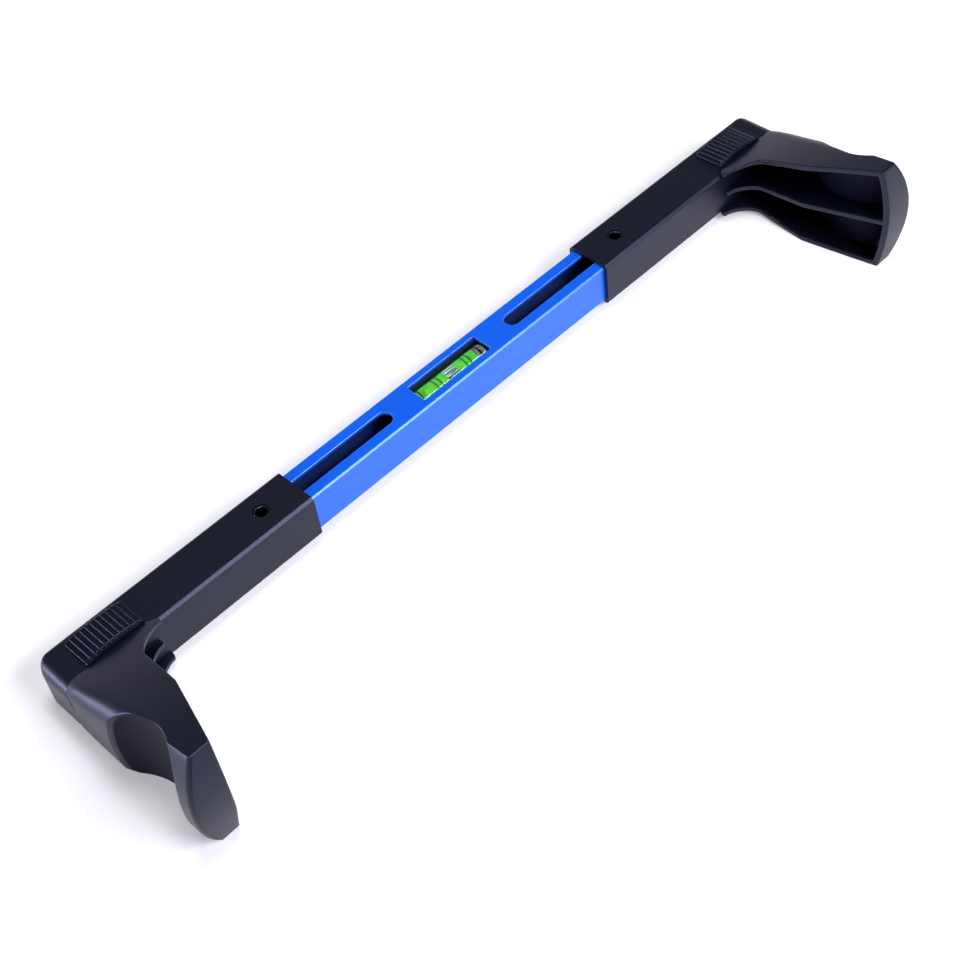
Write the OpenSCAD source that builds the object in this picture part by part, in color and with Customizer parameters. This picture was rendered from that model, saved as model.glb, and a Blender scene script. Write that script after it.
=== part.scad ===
// Steering wheel level: a slotted square bar with a spirit vial at its middle, and two
// hooked plastic handles that slide on the bar to reach round a wheel's rim.
// X runs along the bar, the hooks reach towards -Y, and the vial faces +Z.
// The origin is on the bar's axis, below the middle of the vial's window.

/* [Bar] */
// Width and height of the square tube
tube_w = 20; // [17:0.5:26]
// Wall of the tube
tube_wall = 1.5; // [1:0.1:2]
// Radius of the tube's long outer edges
tube_edge_r = 0.6; // [0.2:0.1:1]
// Length of the tube past each guide pin
tube_tail = 27; // [18:1:34]

/* [Window and slots] */
// Length of the vial's window
window_len = 42; // [35:0.5:51]
// Width of the vial's window
window_w = 11.8; // [11:0.1:14]
// Metal left between the window and each slot
slot_land = 15.5; // [8:0.5:20]
// Width of the guide slots
slot_w = 8.3; // [8.2:0.1:9.5]

/* [Guide pins] */
// Outer diameter of the slotted spring pin
pin_d = 8; // [6.5:0.1:8.1]
// Wall of the spring pin
pin_wall = 1.1; // [0.8:0.1:1.5]
// Width of the slit along the spring pin
pin_slit = 1.2; // [0.6:0.1:1.6]
// Depth of the pin's ends below the sleeve's faces
pin_recess = 0.3; // [0.1:0.1:0.6]
// Gap left at a slot's end when the pin has reached it
stop_gap = 0.2; // [0.1:0.05:0.5]

/* [Sleeves] */
// Inward travel of each handle
travel = 70.5; // [50:0.5:88]
// Wall of the sleeve
sleeve_wall = 1.6; // [1.4:0.1:2.5]
// Gap between the sleeve's bore and the tube, each side
slide_gap = 0.2; // [0.1:0.05:0.4]
// Distance from the sleeve's mouth to the guide pin
pin_setback = 19; // [12:0.5:19.2]
// Solid end of the sleeve, past its bore
sleeve_end = 9.8; // [8.5:0.1:14]
// Radius of the sleeve's long edges
sleeve_edge_r = 2; // [0.5:0.1:2.2]
// Radius of the sleeve's outer back corner, seen from above
sleeve_corner_r = 13.5; // [6:0.5:13.5]
// Radius of the sleeve's upper nose, and of the hook's shoulder beside it
sleeve_nose_r = 9; // [4:0.5:9]
// Radius of the sleeve's lower nose, seen from the front
sleeve_chin_r = 4; // [2.5:0.5:9]

/* [Guide plugs] */
// Length of the plug inside the tube
plug_len = 12; // [8:1:14]
// Thickness of the plug's flange
plug_flange = 2; // [1.5:0.1:3]
// Gap between the flange and the sleeve's bore, each side
plug_gap = 0.1; // [0.05:0.05:0.15]
// Diameter of the vent through the plug
plug_vent = 9; // [5:0.5:10]
// Room left past the plug when the handle is pushed right in
end_room = 1.5; // [1:0.5:4]

/* [Hooks] */
// Reach of the hook's bowed end from the sleeve's front face
hook_reach = 77.5; // [64:0.5:93]
// Height of the hook at its tip
hook_h = 58; // [48:1:70]
// Height of the tip's middle above the bar's axis
hook_lift = 2; // [0:0.5:4]
// Wall of the hook's plates
hook_wall = 2.5; // [2:0.1:3.2]
// Wall of the hook's end plate
blade_wall = 2.9; // [2.4:0.1:4]
// Thickness of the hook's middle rib
rib_t = 2.4; // [1.8:0.1:3]
// Rise of the hook's top over the sleeve at its root
root_rise = 1.8; // [1:0.1:2.5]
// Drop of the hook's bottom below the sleeve at its root
root_drop = 0.2; // [0.1:0.1:0.5]
// Radius of the curves along the hook's top and bottom
hook_profile_r = 400; // [300:10:600]
// Radius of the hook's bowed outer wall
hook_bow_r = 54; // [45:1:65]
// Drop of that wall's axis below the bar's axis, at the hook's root
bow_drop = 4; // [0:0.5:5]
// Radius of the bowed end plate
blade_bow_r = 98; // [80:1:130]
// Radius of the bay that seats the wheel's rim
bay_r = 20; // [16:0.1:21]
// Clear strip between the sleeve's front face and the bay
bay_root = 2.2; // [1:0.1:3]
// Distance from the hook's outer wall in to the bay's axis
bay_inset = 48; // [45:0.5:52]
// Distance from the hook's outer wall in to the corner beyond the bay
crook_inset = 29.8; // [27:0.1:32]
// Distance from the sleeve's front face to that corner
crook_reach = 36.8; // [34:0.1:40]
// Distance from the hook's outer wall in to the tip's inner edge
tip_inset = 17.3; // [14:0.1:20]
// Radius of the thumb scoop in the hook's outer wall
scoop_r = 26.5; // [22:0.5:30]
// Depth of the thumb scoop
scoop_depth = 11.4; // [8:0.1:12.5]
// Distance from the sleeve's front face to the scoop's middle
scoop_reach = 47.5; // [42:0.5:50]

/* [Thumb pads] */
// Length of the ribbed pad
pad_len = 28.5; // [22:0.5:30]
// Width of the ribbed pad
pad_w = 16.4; // [12:0.1:16.5]
// Distance from the sleeve's outer end to the pad
pad_inset = 13.5; // [12:0.5:20]
// Distance from the sleeve's back face to the pad
pad_margin = 3.8; // [2.5:0.1:5]
// Depth of the pad's seat in the sleeve
pad_seat = 0.6; // [0.3:0.1:0.8]
// Height of the pad's plate above the sleeve, at the pad's ends
pad_rise = 0.9; // [0.5:0.1:1.5]
// Rise of the crowned plate's middle over its ends
pad_crown = 2.2; // [1:0.1:3]
// Height of the pad's ribs above its plate
pad_rib_h = 0.4; // [0.2:0.1:0.8]
// Width of each rib
pad_rib_w = 0.7; // [0.5:0.1:1.2]
// Number of ribs
pad_ribs = 12; // [8:1:12]

/* [Vial] */
// Outer diameter of the vial
vial_d = 10; // [8.6:0.1:10.6]
// Length of the vial
vial_len = 40; // [36:0.5:41]
// Wall of the vial's barrel
vial_wall = 1; // [0.8:0.1:1.4]
// Solid end of the vial's barrel
vial_end = 3.4; // [2:0.1:4]
// Length of the plug that seals the vial
vial_plug_len = 5; // [4:0.5:6]
// Diameter of the seal's cord
seal_d = 1.2; // [1:0.1:1.4]
// How much narrower the barrel's bore is at its ends, on the radius
crown = 0.1; // [0.05:0.01:0.2]
// Gap between the fluid and the barrel's bore
fluid_gap = 0.02; // [0.01:0.01:0.05]
// Drop of the vial's crown below the tube's top face
vial_drop = 0.4; // [0.2:0.1:1]
// Offset of the vial towards the front of the bar
vial_front = 0.85; // [0:0.05:1]
// Offset of the vial along the bar, towards the left handle
vial_shift = 0.4; // [0:0.1:0.8]
// Distance from the bubble's place to each inner ring
ring_inner = 7.8; // [6:0.1:9]
// Distance from each inner ring to its outer ring
ring_pitch = 2.7; // [2:0.1:3.5]
// Width of each printed ring
ring_w = 0.4; // [0.3:0.1:0.8]
// Thickness of each printed ring
ring_t = 0.12; // [0.08:0.01:0.15]

/* [Bubble] */
// Length of the bubble
bubble_len = 8.5; // [6:0.5:10]
// Width of the bubble
bubble_d = 4.4; // [3:0.1:5]
// Travel of the bubble to each side
bubble_travel = 8; // [5:0.5:9]
// Gap round the bubble
bubble_gap = 0.1; // [0.05:0.05:0.2]
// Fluid left between the bubble's channel and the barrel at the bubble's limits
bubble_drop = 0.3; // [0.2:0.1:0.5]

/* [Cradle] */
// Gap between the vial and its trough
trough_gap = 0.2; // [0.16:0.01:0.3]
// Length of the trough past the vial's right end
trough_room = 1.9; // [0.5:0.1:2]
// Length of the cradle past the window, each end
cradle_lap = 3; // [2:0.5:5]
// Wall of the hollow under the cradle
cradle_wall = 2; // [1.5:0.1:3]

/* [Hidden] */

$fn = 96;
long_arc_fn = 1440;
cut = 1;

tube_in = tube_w - 2 * tube_wall;
window_end = window_len / 2;

// The pin meets each end of its slot with the stop gap to spare.
slot_r = slot_w / 2;
pin_r = pin_d / 2;
slot_in = window_end + slot_land;
pin_x = slot_in + stop_gap + pin_r + travel;
slot_out = pin_x + pin_r + stop_gap;

tube_half = pin_x + tube_tail;
bore_w = tube_w + 2 * slide_gap;
sleeve_w = bore_w + 2 * sleeve_wall;
sleeve_half = sleeve_w / 2;
sleeve_in = pin_x - pin_setback;
bore_end = tube_half + plug_flange + travel + end_room;
sleeve_out = bore_end + sleeve_end;

// Places on the hook, from the sleeve's outer end and front face.
front = -sleeve_half;
blade_y = front - hook_reach;
bay_x = sleeve_out - bay_inset;
bay_y = front - bay_root - bay_r;
crook_x = sleeve_out - crook_inset;
crook_y = front - crook_reach;
tip_x = sleeve_out - tip_inset;
tip_lean = (tip_x - crook_x) / (crook_y - blade_y);
scoop_x = sleeve_out - scoop_depth + scoop_r;
scoop_y = front - scoop_reach;
bow_x = sleeve_out - hook_bow_r;
bow_share = 0.75;
bow_z = bow_share * hook_lift;

// The bay's arc runs between these two angles, over 31 percent of a circle. The hook's
// edge then leaves it for the crook, on a line that starts well inside the bay's circle.
bay_from = 86;
bay_to = -27;
bay_run_in = 1.5;
bay_edge_x = bay_x + bay_r * cos(bay_from);

// Heights of the hook at its root, where it meets the sleeve, and just short of its end.
root_top = sleeve_half + root_rise;
root_low = -sleeve_half - root_drop;
tip_top = hook_lift + hook_h / 2;
tip_low = hook_lift - hook_h / 2;
tip_setback = 4.3;
tip_y = blade_y + tip_setback;
nose_x = sleeve_out - sleeve_nose_r;
nose_z = sleeve_half - sleeve_nose_r;
shoulder_inset = 0.6;
shoulder_x = nose_x - shoulder_inset;
shoulder_lift = 0.3;
blade_axis_y = blade_y + blade_bow_r;

pad_x = sleeve_out - pad_inset - pad_len;
pad_back = sleeve_half - pad_margin;
pad_front = pad_back - pad_w;
pad_pitch = (pad_len - pad_rib_w) / (pad_ribs - 1);
lap_gap = 0.2;
lap_back = pad_front - lap_gap;
lap_out = sleeve_out - sleeve_nose_r / 2;

vial_r = vial_d / 2;
vial_y = -vial_front;
vial_z = tube_w / 2 - vial_drop - vial_r;
vial_left = -vial_shift - vial_len / 2;
vial_right = vial_left + vial_len;
fluid_left = vial_left + vial_end;
fluid_right = vial_right - vial_plug_len;
fluid_mid = (fluid_left + fluid_right) / 2;
vial_bore_r = vial_r - vial_wall;
bubble_r = bubble_d / 2;
bubble_z = vial_z + vial_bore_r - crown - bubble_r - bubble_gap - bubble_drop;

// The seal fills its groove: the groove is a little wider than the cord, and the cord
// is flat where it sits on the groove's floor.
seal_x = fluid_right + vial_plug_len / 2;
groove_depth = 0.8 * seal_d;
groove_len = 1.2 * seal_d;
seal_flat = 0.3 * seal_d;

// Extrudes a profile drawn in Y and Z along X, from x = 0.
module along_x(length) rotate([90, 0, 90]) linear_extrude(length) children();

// Extrudes a profile drawn in X and Z along -Y, from y = 0.
module along_y(length) rotate([90, 0, 0]) linear_extrude(length) children();

// A round bar along X, from x = 0.
module rod_x(length, r1, r2) rotate([0, 90, 0]) cylinder(h = length, r1 = r1, r2 = r2);

// Draws its children on the right, or mirrored to the left.
module on_side(side) mirror([side < 0 ? 1 : 0, 0, 0]) children();

// A square about the origin with rounded corners.
module round_square(w, r) {
    square([w, w - 2 * r], center = true);
    square([w - 2 * r, w], center = true);
    for (x = [-1, 1], y = [-1, 1])
        translate([x * (w / 2 - r), y * (w / 2 - r)]) circle(r);
}

// A slot with round ends between two places on X.
module slot_outline(from_x, to_x) {
    translate([from_x + slot_r, -slot_r]) square([to_x - from_x - slot_w, slot_w]);
    for (x = [from_x + slot_r, to_x - slot_r]) translate([x, 0]) circle(slot_r);
}

module tube() {
    color("#1A5CFF") difference() {
        translate([-tube_half, 0, 0]) along_x(2 * tube_half) round_square(tube_w, tube_edge_r);
        translate([-tube_half - cut, -tube_in / 2, -tube_in / 2])
            cube([2 * (tube_half + cut), tube_in, tube_in]);
        translate([-window_end, -window_w / 2, 0]) cube([window_len, window_w, tube_w]);
        for (side = [-1, 1]) on_side(side)
            translate([0, 0, -tube_w]) linear_extrude(2 * tube_w)
                slot_outline(slot_in, slot_out);
    }
}

module guide_plug(side) {
    flange_w = bore_w - 2 * plug_gap;
    color("#23242B") on_side(side) difference() {
        union() {
            translate([tube_half - plug_len, -tube_in / 2, -tube_in / 2])
                cube([plug_len, tube_in, tube_in]);
            translate([tube_half, -flange_w / 2, -flange_w / 2])
                cube([plug_flange, flange_w, flange_w]);
        }
        translate([tube_half - plug_len - cut, 0, 0])
            rod_x(plug_len + plug_flange + 2 * cut, plug_vent / 2, plug_vent / 2);
    }
}

module vial_cradle() {
    cradle_half = window_end + cradle_lap;
    trough_r = vial_r + trough_gap;
    hollow_top = vial_z - trough_r - cradle_wall;
    color("#15161C") difference() {
        translate([-cradle_half, -tube_in / 2, -tube_in / 2])
            cube([2 * cradle_half, tube_in, tube_in]);
        translate([vial_left - trough_gap, vial_y, vial_z])
            rod_x(vial_len + trough_gap + trough_room, trough_r, trough_r);
        translate([vial_left - trough_gap, vial_y - trough_r, vial_z])
            cube([vial_len + trough_gap + trough_room, 2 * trough_r, tube_w]);
        translate([-cradle_half + cradle_wall, -tube_in / 2 + cradle_wall, -tube_w])
            cube([2 * (cradle_half - cradle_wall), tube_in - 2 * cradle_wall,
                  tube_w + hollow_top]);
    }
}

// The crowned inside of the vial: widest at the middle, so that the bubble settles there.
module crowned_bore(gap) {
    mid_r = vial_bore_r - gap;
    end_r = mid_r - crown;
    half = fluid_right - fluid_mid;
    translate([fluid_left, vial_y, vial_z]) rod_x(half, end_r, mid_r);
    translate([fluid_mid, vial_y, vial_z]) rod_x(half, mid_r, end_r);
}

module vial_barrel() {
    color("#DDE8E4") difference() {
        translate([vial_left, vial_y, vial_z]) rod_x(vial_len, vial_r, vial_r);
        crowned_bore(0);
        translate([fluid_right - cut, vial_y, vial_z])
            rod_x(vial_plug_len + 2 * cut, vial_bore_r - crown, vial_bore_r - crown);
    }
}

module vial_plug() {
    plug_r = vial_bore_r - crown;
    groove_r = plug_r - groove_depth;
    color("#C9D2D0") difference() {
        translate([fluid_right, vial_y, vial_z]) rod_x(vial_plug_len, plug_r, plug_r);
        translate([seal_x - groove_len / 2, vial_y, vial_z]) difference() {
            rod_x(groove_len, vial_r, vial_r);
            rod_x(groove_len, groove_r, groove_r);
        }
    }
}

module vial_seal() {
    seal_r = vial_bore_r - crown - seal_d / 2;
    color("#1A1A1E") translate([seal_x, vial_y, vial_z]) rotate([0, 90, 0])
        difference() {
            rotate_extrude() translate([seal_r, 0]) circle(d = seal_d);
            translate([0, 0, -seal_d]) cylinder(h = 2 * seal_d, r = seal_r - seal_flat);
        }
}

module vial_fluid() {
    reach = bubble_travel + bubble_len / 2 - bubble_r;
    channel_r = bubble_r + bubble_gap;
    color("#2EC84A") difference() {
        crowned_bore(fluid_gap);
        translate([-reach - vial_shift, vial_y, bubble_z]) rod_x(2 * reach, channel_r, channel_r);
        for (x = [-reach, reach])
            translate([x - vial_shift, vial_y, bubble_z]) sphere(channel_r);
    }
}

module vial_rings() {
    color("#101012")
        for (side = [-1, 1], x = [ring_inner, ring_inner + ring_pitch])
            translate([side * x - vial_shift - ring_w / 2, vial_y, vial_z]) difference() {
                rod_x(ring_w, vial_r + ring_t, vial_r + ring_t);
                translate([-cut, 0, 0]) rod_x(ring_w + 2 * cut, vial_r, vial_r);
            }
}

module bubble() {
    half = bubble_len / 2 - bubble_r;
    color("#E8F6EC") {
        translate([-half - vial_shift, vial_y, bubble_z]) rod_x(2 * half, bubble_r, bubble_r);
        for (x = [-half, half]) translate([x - vial_shift, vial_y, bubble_z]) sphere(bubble_r);
    }
}

module sleeve_plan() {
    r = sleeve_corner_r;
    translate([sleeve_in, front]) square([sleeve_out - r - sleeve_in, sleeve_w]);
    translate([sleeve_in, front]) square([sleeve_out - sleeve_in, sleeve_w - r]);
    translate([sleeve_out - r, sleeve_half - r]) circle(r);
}

module sleeve_elevation() {
    nose = sleeve_nose_r;
    chin = sleeve_chin_r;
    translate([sleeve_in, -sleeve_half]) square([nose_x - sleeve_in, sleeve_w]);
    translate([sleeve_in, chin - sleeve_half])
        square([sleeve_out - sleeve_in, sleeve_w - nose - chin]);
    translate([sleeve_in, -sleeve_half]) square([sleeve_out - chin - sleeve_in, chin]);
    translate([nose_x, nose_z]) circle(nose);
    translate([sleeve_out - chin, chin - sleeve_half]) circle(chin);
}

module sleeve(side) {
    color("#23252F") on_side(side) difference() {
        intersection() {
            translate([0, 0, -sleeve_w]) linear_extrude(2 * sleeve_w) sleeve_plan();
            translate([0, sleeve_w, 0]) along_y(2 * sleeve_w) sleeve_elevation();
            translate([sleeve_in - cut, 0, 0]) along_x(sleeve_out - sleeve_in + 2 * cut)
                round_square(sleeve_w, sleeve_edge_r);
        }
        translate([sleeve_in - cut, -bore_w / 2, -bore_w / 2])
            cube([bore_end - sleeve_in + cut, bore_w, bore_w]);
        translate([pin_x, 0, 0]) cylinder(h = 2 * sleeve_w, r = pin_r, center = true);
        translate([pad_x, pad_front, sleeve_half - pad_seat]) cube([pad_len, pad_w, sleeve_w]);
    }
}

// The slotted spring pin: pressed through the sleeve, it runs in the tube's slots.
module guide_pin(side) {
    length = sleeve_w - 2 * pin_recess;
    color("#1B1C20") on_side(side) translate([pin_x, 0, 0]) difference() {
        cylinder(h = length, r = pin_r, center = true);
        cylinder(h = length + 2 * cut, r = pin_r - pin_wall, center = true);
        translate([0, -pin_slit / 2, -length]) cube([pin_d, pin_slit, 2 * length]);
    }
}

// The thumb pad seen from the front: a plate under a long arc, raised by lift.
module pad_side(lift) {
    arc_r = (pow(pad_len / 2, 2) + pow(pad_crown, 2)) / (2 * pad_crown);
    arc_top = sleeve_half + pad_rise + pad_crown + lift;
    intersection() {
        translate([pad_x, sleeve_half - pad_seat]) square([pad_len, sleeve_w]);
        translate([pad_x + pad_len / 2, arc_top - arc_r]) circle(arc_r, $fn = long_arc_fn / 2);
    }
}

module thumb_pad(side) {
    color("#1E2028") on_side(side) {
        translate([0, pad_back, 0]) along_y(pad_w) pad_side(0);
        for (y = [pad_front + pad_rib_w, pad_back])
            translate([0, y, 0]) along_y(pad_rib_w) pad_side(pad_rib_h);
        translate([0, pad_back, 0]) along_y(pad_w) intersection() {
            pad_side(pad_rib_h);
            for (i = [0 : pad_ribs - 1])
                translate([pad_x + i * pad_pitch, 0]) square([pad_rib_w, 2 * sleeve_w]);
        }
    }
}

// The hook seen from above: its inner edge follows the bay, the crook and the tip.
module hook_plan() {
    crook = [crook_x, crook_y];
    bay_low = [bay_x + bay_r * cos(bay_to), bay_y + bay_r * sin(bay_to)];
    difference() {
        polygon([
            [bay_edge_x, front + cut],
            [sleeve_out + cut, front + cut],
            [sleeve_out + cut, blade_y - cut],
            [tip_x + cut * tip_lean, blade_y - cut],
            crook,
            crook + bay_run_in * (bay_low - crook),
            [bay_edge_x, bay_y]
        ]);
        translate([bay_x, bay_y]) circle(bay_r);
        translate([scoop_x, scoop_y]) circle(scoop_r);
    }
}

// The room inside the hook seen from above, open all along the hook's inner edge.
module room_plan() {
    difference() {
        translate([bay_x - bay_r, blade_y - cut])
            square([bay_inset + bay_r + cut, hook_reach + 2 * cut]);
        translate([scoop_x, scoop_y]) circle(scoop_r + hook_wall);
    }
}

// The centre of the hook's top curve, sense 1, or bottom curve, sense -1, in Y and Z:
// an arc through its height at the root and at the tip, bowed away from the middle.
function curve_centre(z_root, z_tip, sense) =
    let (chord = [tip_y - front, z_tip - z_root],
         span = norm(chord),
         offset = sqrt(pow(hook_profile_r, 2) - pow(span / 2, 2)))
    [(tip_y + front) / 2 - sense * offset * chord[1] / span,
     (z_tip + z_root) / 2 + sense * offset * chord[0] / span];

// The hook seen from the side, in Y and Z, back to the line y = back.
// The insets take the walls off its long curves and its end.
module hook_side(back, inset, end_inset) {
    top = curve_centre(root_top, tip_top, 1);
    low = curve_centre(root_low, tip_low, -1);
    intersection() {
        translate([blade_y - cut, -hook_h]) square([back - blade_y + cut, 2 * hook_h]);
        translate(top) circle(hook_profile_r - inset, $fn = long_arc_fn);
        translate(low) circle(hook_profile_r - inset, $fn = long_arc_fn);
        translate([blade_axis_y, hook_lift]) circle(blade_bow_r - end_inset, $fn = long_arc_fn);
    }
}

// The bowed outer side of the hook: a round bar that the hook's walls lie in. Its axis
// rises from the root to the tip.
module hook_bow(inset) {
    climb = atan((bow_z + bow_drop) / hook_reach);
    translate([bow_x, front, -bow_drop]) rotate([90 - climb, 0, 0])
        translate([0, 0, -2 * sleeve_w])
            cylinder(h = hook_reach + 4 * sleeve_w, r = hook_bow_r - inset, $fn = 2 * $fn);
}

// What rounding takes off the hook's upper outer edge: a corner's waste, laid along
// the slope of the hook's top from the sleeve to the scoop.
module hook_shoulder(inset) {
    top = curve_centre(root_top, tip_top, 1);
    scoop_side = scoop_y + scoop_r;
    side_top = top[1] + sqrt(pow(hook_profile_r, 2) - pow(scoop_side - top[0], 2));
    slope = atan((side_top - root_top) / (front - scoop_side));
    translate([0, front, root_top + shoulder_lift]) rotate([-slope, 0, 0])
        translate([0, sleeve_w, 0]) along_y(hook_reach + 2 * sleeve_w)
            translate([shoulder_x, -sleeve_nose_r]) difference() {
                square([sleeve_nose_r + 2 * cut, sleeve_nose_r + sleeve_w]);
                circle(sleeve_nose_r - inset);
            }
}

module hook_form() {
    difference() {
        intersection() {
            translate([0, 0, -hook_h]) linear_extrude(2 * hook_h) hook_plan();
            translate([bay_x - bay_r, 0, 0]) along_x(bay_inset + 2 * bay_r)
                hook_side(front, 0, 0);
            hook_bow(0);
        }
        hook_shoulder(0);
    }
}

module hook_room() {
    difference() {
        intersection() {
            translate([0, 0, -hook_h]) linear_extrude(2 * hook_h) room_plan();
            translate([bay_x - 2 * bay_r, 0, 0]) along_x(bay_inset + 3 * bay_r)
                hook_side(front + cut, hook_wall, blade_wall);
            hook_bow(hook_wall);
        }
        hook_shoulder(hook_wall);
    }
}

// The lap of the hook over the sleeve's top and nose, along the pad's front edge.
module hook_lap() {
    intersection() {
        translate([0, 0, -sleeve_w]) linear_extrude(2 * sleeve_w) polygon([
            [bay_edge_x, front], [pad_x, lap_back], [lap_out, lap_back], [lap_out, front]
        ]);
        translate([0, sleeve_half, 0]) along_y(sleeve_w) difference() {
            union() {
                translate([sleeve_in, sleeve_half]) square([nose_x - sleeve_in, root_rise]);
                translate([nose_x, nose_z + root_rise]) circle(sleeve_nose_r);
            }
            translate([nose_x, nose_z]) circle(sleeve_nose_r);
            translate([sleeve_in, -sleeve_w]) square([nose_x - sleeve_in, sleeve_w + sleeve_half]);
        }
    }
}

module hook_rib() {
    along_x(sleeve_out) polygon([
        [front, -rib_t / 2], [front, rib_t / 2],
        [blade_y, bow_z + rib_t / 2], [blade_y, bow_z - rib_t / 2]
    ]);
}

module hook(side) {
    color("#262833") on_side(side) {
        difference() {
            hook_form();
            difference() {
                hook_room();
                hook_rib();
            }
        }
        hook_lap();
    }
}

tube();
guide_plug(-1);  // left_guide_plug
guide_plug(1);  // right_guide_plug
vial_cradle();
vial_barrel();
vial_plug();
vial_seal();
vial_fluid();
vial_rings();
bubble();
sleeve(-1);  // left_sleeve
hook(-1);  // left_hook
thumb_pad(-1);  // left_thumb_pad
guide_pin(-1);  // left_guide_pin
sleeve(1);  // right_sleeve
hook(1);  // right_hook
thumb_pad(1);  // right_thumb_pad
guide_pin(1);  // right_guide_pin
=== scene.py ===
import math

import bpy
from mathutils import Matrix, Vector


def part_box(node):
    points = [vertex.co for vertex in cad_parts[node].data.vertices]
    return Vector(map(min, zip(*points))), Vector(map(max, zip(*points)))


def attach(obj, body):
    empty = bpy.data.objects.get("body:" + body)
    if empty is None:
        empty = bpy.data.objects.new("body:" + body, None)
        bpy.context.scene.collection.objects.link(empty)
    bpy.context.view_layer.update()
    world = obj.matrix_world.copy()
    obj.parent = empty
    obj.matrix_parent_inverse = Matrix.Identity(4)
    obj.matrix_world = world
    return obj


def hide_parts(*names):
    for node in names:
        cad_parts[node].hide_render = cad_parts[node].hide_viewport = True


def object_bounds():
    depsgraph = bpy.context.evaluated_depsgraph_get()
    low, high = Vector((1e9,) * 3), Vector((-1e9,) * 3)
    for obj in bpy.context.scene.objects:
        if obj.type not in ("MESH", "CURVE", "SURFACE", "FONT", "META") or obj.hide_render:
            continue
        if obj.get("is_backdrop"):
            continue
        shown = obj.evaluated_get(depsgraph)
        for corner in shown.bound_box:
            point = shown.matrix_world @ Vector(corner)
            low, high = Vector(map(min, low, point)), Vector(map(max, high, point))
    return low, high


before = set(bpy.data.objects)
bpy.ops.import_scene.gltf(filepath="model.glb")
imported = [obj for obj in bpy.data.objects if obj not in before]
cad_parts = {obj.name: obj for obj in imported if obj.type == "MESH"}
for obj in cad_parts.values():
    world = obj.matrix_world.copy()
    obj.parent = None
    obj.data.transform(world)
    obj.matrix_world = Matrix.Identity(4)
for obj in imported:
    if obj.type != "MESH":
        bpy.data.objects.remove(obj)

bl_info = {
    "name": "Steering wheel level",
    "version": (1, 0, 0),
    "blender": (4, 5, 0),
    "location": "3D View > Sidebar > Wheel Level",
    "description": "Builds the shown pieces of a steering wheel level on its packed frame",
    "category": "Object",
}

MM = 0.001
CAD_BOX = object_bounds()
SIDES = {"left": -1, "right": 1}

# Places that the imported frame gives, in metres. The handles are mirrored, so the right
# one's places serve for both.
TUBE_LOW, TUBE_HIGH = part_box("tube")
SLEEVE_LOW, SLEEVE_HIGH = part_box("right_sleeve")
PIN_LOW, PIN_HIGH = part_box("right_guide_pin")
PAD_LOW, PAD_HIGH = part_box("right_thumb_pad")
VIAL_LOW, VIAL_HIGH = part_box("vial_barrel")
FLUID_LOW, FLUID_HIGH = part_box("vial_fluid")
PLUG_LOW, PLUG_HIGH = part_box("vial_plug")
RINGS_LOW, RINGS_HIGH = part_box("vial_rings")
BUBBLE_LOW, BUBBLE_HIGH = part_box("bubble")

TUBE_HALF = TUBE_HIGH.z
FACE = SLEEVE_HIGH.y
PIN_X = (PIN_LOW.x + PIN_HIGH.x) / 2
PIN_R = (PIN_HIGH.x - PIN_LOW.x) / 2
VIAL_Y = (VIAL_LOW.y + VIAL_HIGH.y) / 2
VIAL_Z = (VIAL_LOW.z + VIAL_HIGH.z) / 2


def length(name, default, description):
    """A length that the user may change, in metres."""
    return bpy.props.FloatProperty(
        name=name, description=description, default=default, min=0.0, precision=5, unit="LENGTH"
    )


def colour(name, code, description):
    """A colour that the user may change, given as an sRGB hex value."""
    return bpy.props.FloatVectorProperty(
        name=name, description=description, default=linear(code)[:3], min=0.0, max=1.0,
        size=3, subtype="COLOR",
    )


def linear(code):
    """Turns an sRGB hex value such as #1A5CFF to linear red, green, blue and alpha."""
    parts = [int(code[i : i + 2], 16) / 255 for i in (1, 3, 5)]
    parts = [p / 12.92 if p <= 0.04045 else ((p + 0.055) / 1.055) ** 2.4 for p in parts]
    return (*parts, 1.0)


def between(a, b, t):
    return a + (b - a) * t


def eased(t):
    t = min(max(t, 0.0), 1.0)
    return t * t * (3 - 2 * t)


# Modelling steps


def take(piece):
    """Leaves object mode with this piece alone selected and active."""
    if bpy.context.mode != "OBJECT":
        bpy.ops.object.mode_set(mode="OBJECT")
    bpy.ops.object.select_all(action="DESELECT")
    if piece:
        piece.select_set(True)
        bpy.context.view_layer.objects.active = piece
    return piece


def started(name):
    """Names the primitive that was just added and settles its place into its mesh."""
    piece = bpy.context.object
    piece.name = name
    piece.data.name = name
    take(piece)
    bpy.ops.object.transform_apply(location=True, rotation=True, scale=True)
    return piece


def block(name, low, high):
    """A cube primitive that fills the box between two corners."""
    take(None)
    low, high = Vector(low), Vector(high)
    bpy.ops.mesh.primitive_cube_add(size=1, location=(low + high) / 2, scale=high - low)
    return started(name)


def edit(piece, kind, test):
    """Opens the piece in edit mode with the parts selected whose places pass the test."""
    take(piece)
    bpy.ops.object.mode_set(mode="EDIT")
    bpy.ops.mesh.select_mode(type=kind)
    bpy.ops.mesh.select_all(action="DESELECT")
    bpy.ops.object.mode_set(mode="OBJECT")
    mesh = piece.data
    places = [v.co for v in mesh.vertices]
    parts = {"VERT": mesh.vertices, "EDGE": mesh.edges, "FACE": mesh.polygons}[kind]
    found = 0
    for part in parts:
        corners = [part.co] if kind == "VERT" else [places[i] for i in part.vertices]
        part.select = all(test(p) for p in corners)
        found += part.select
    if not found:
        raise RuntimeError(f"{piece.name}: no {kind.lower()} is where it was looked for")
    bpy.ops.object.mode_set(mode="EDIT")


def everywhere(point):
    """A test that every place passes."""
    return True


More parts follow.
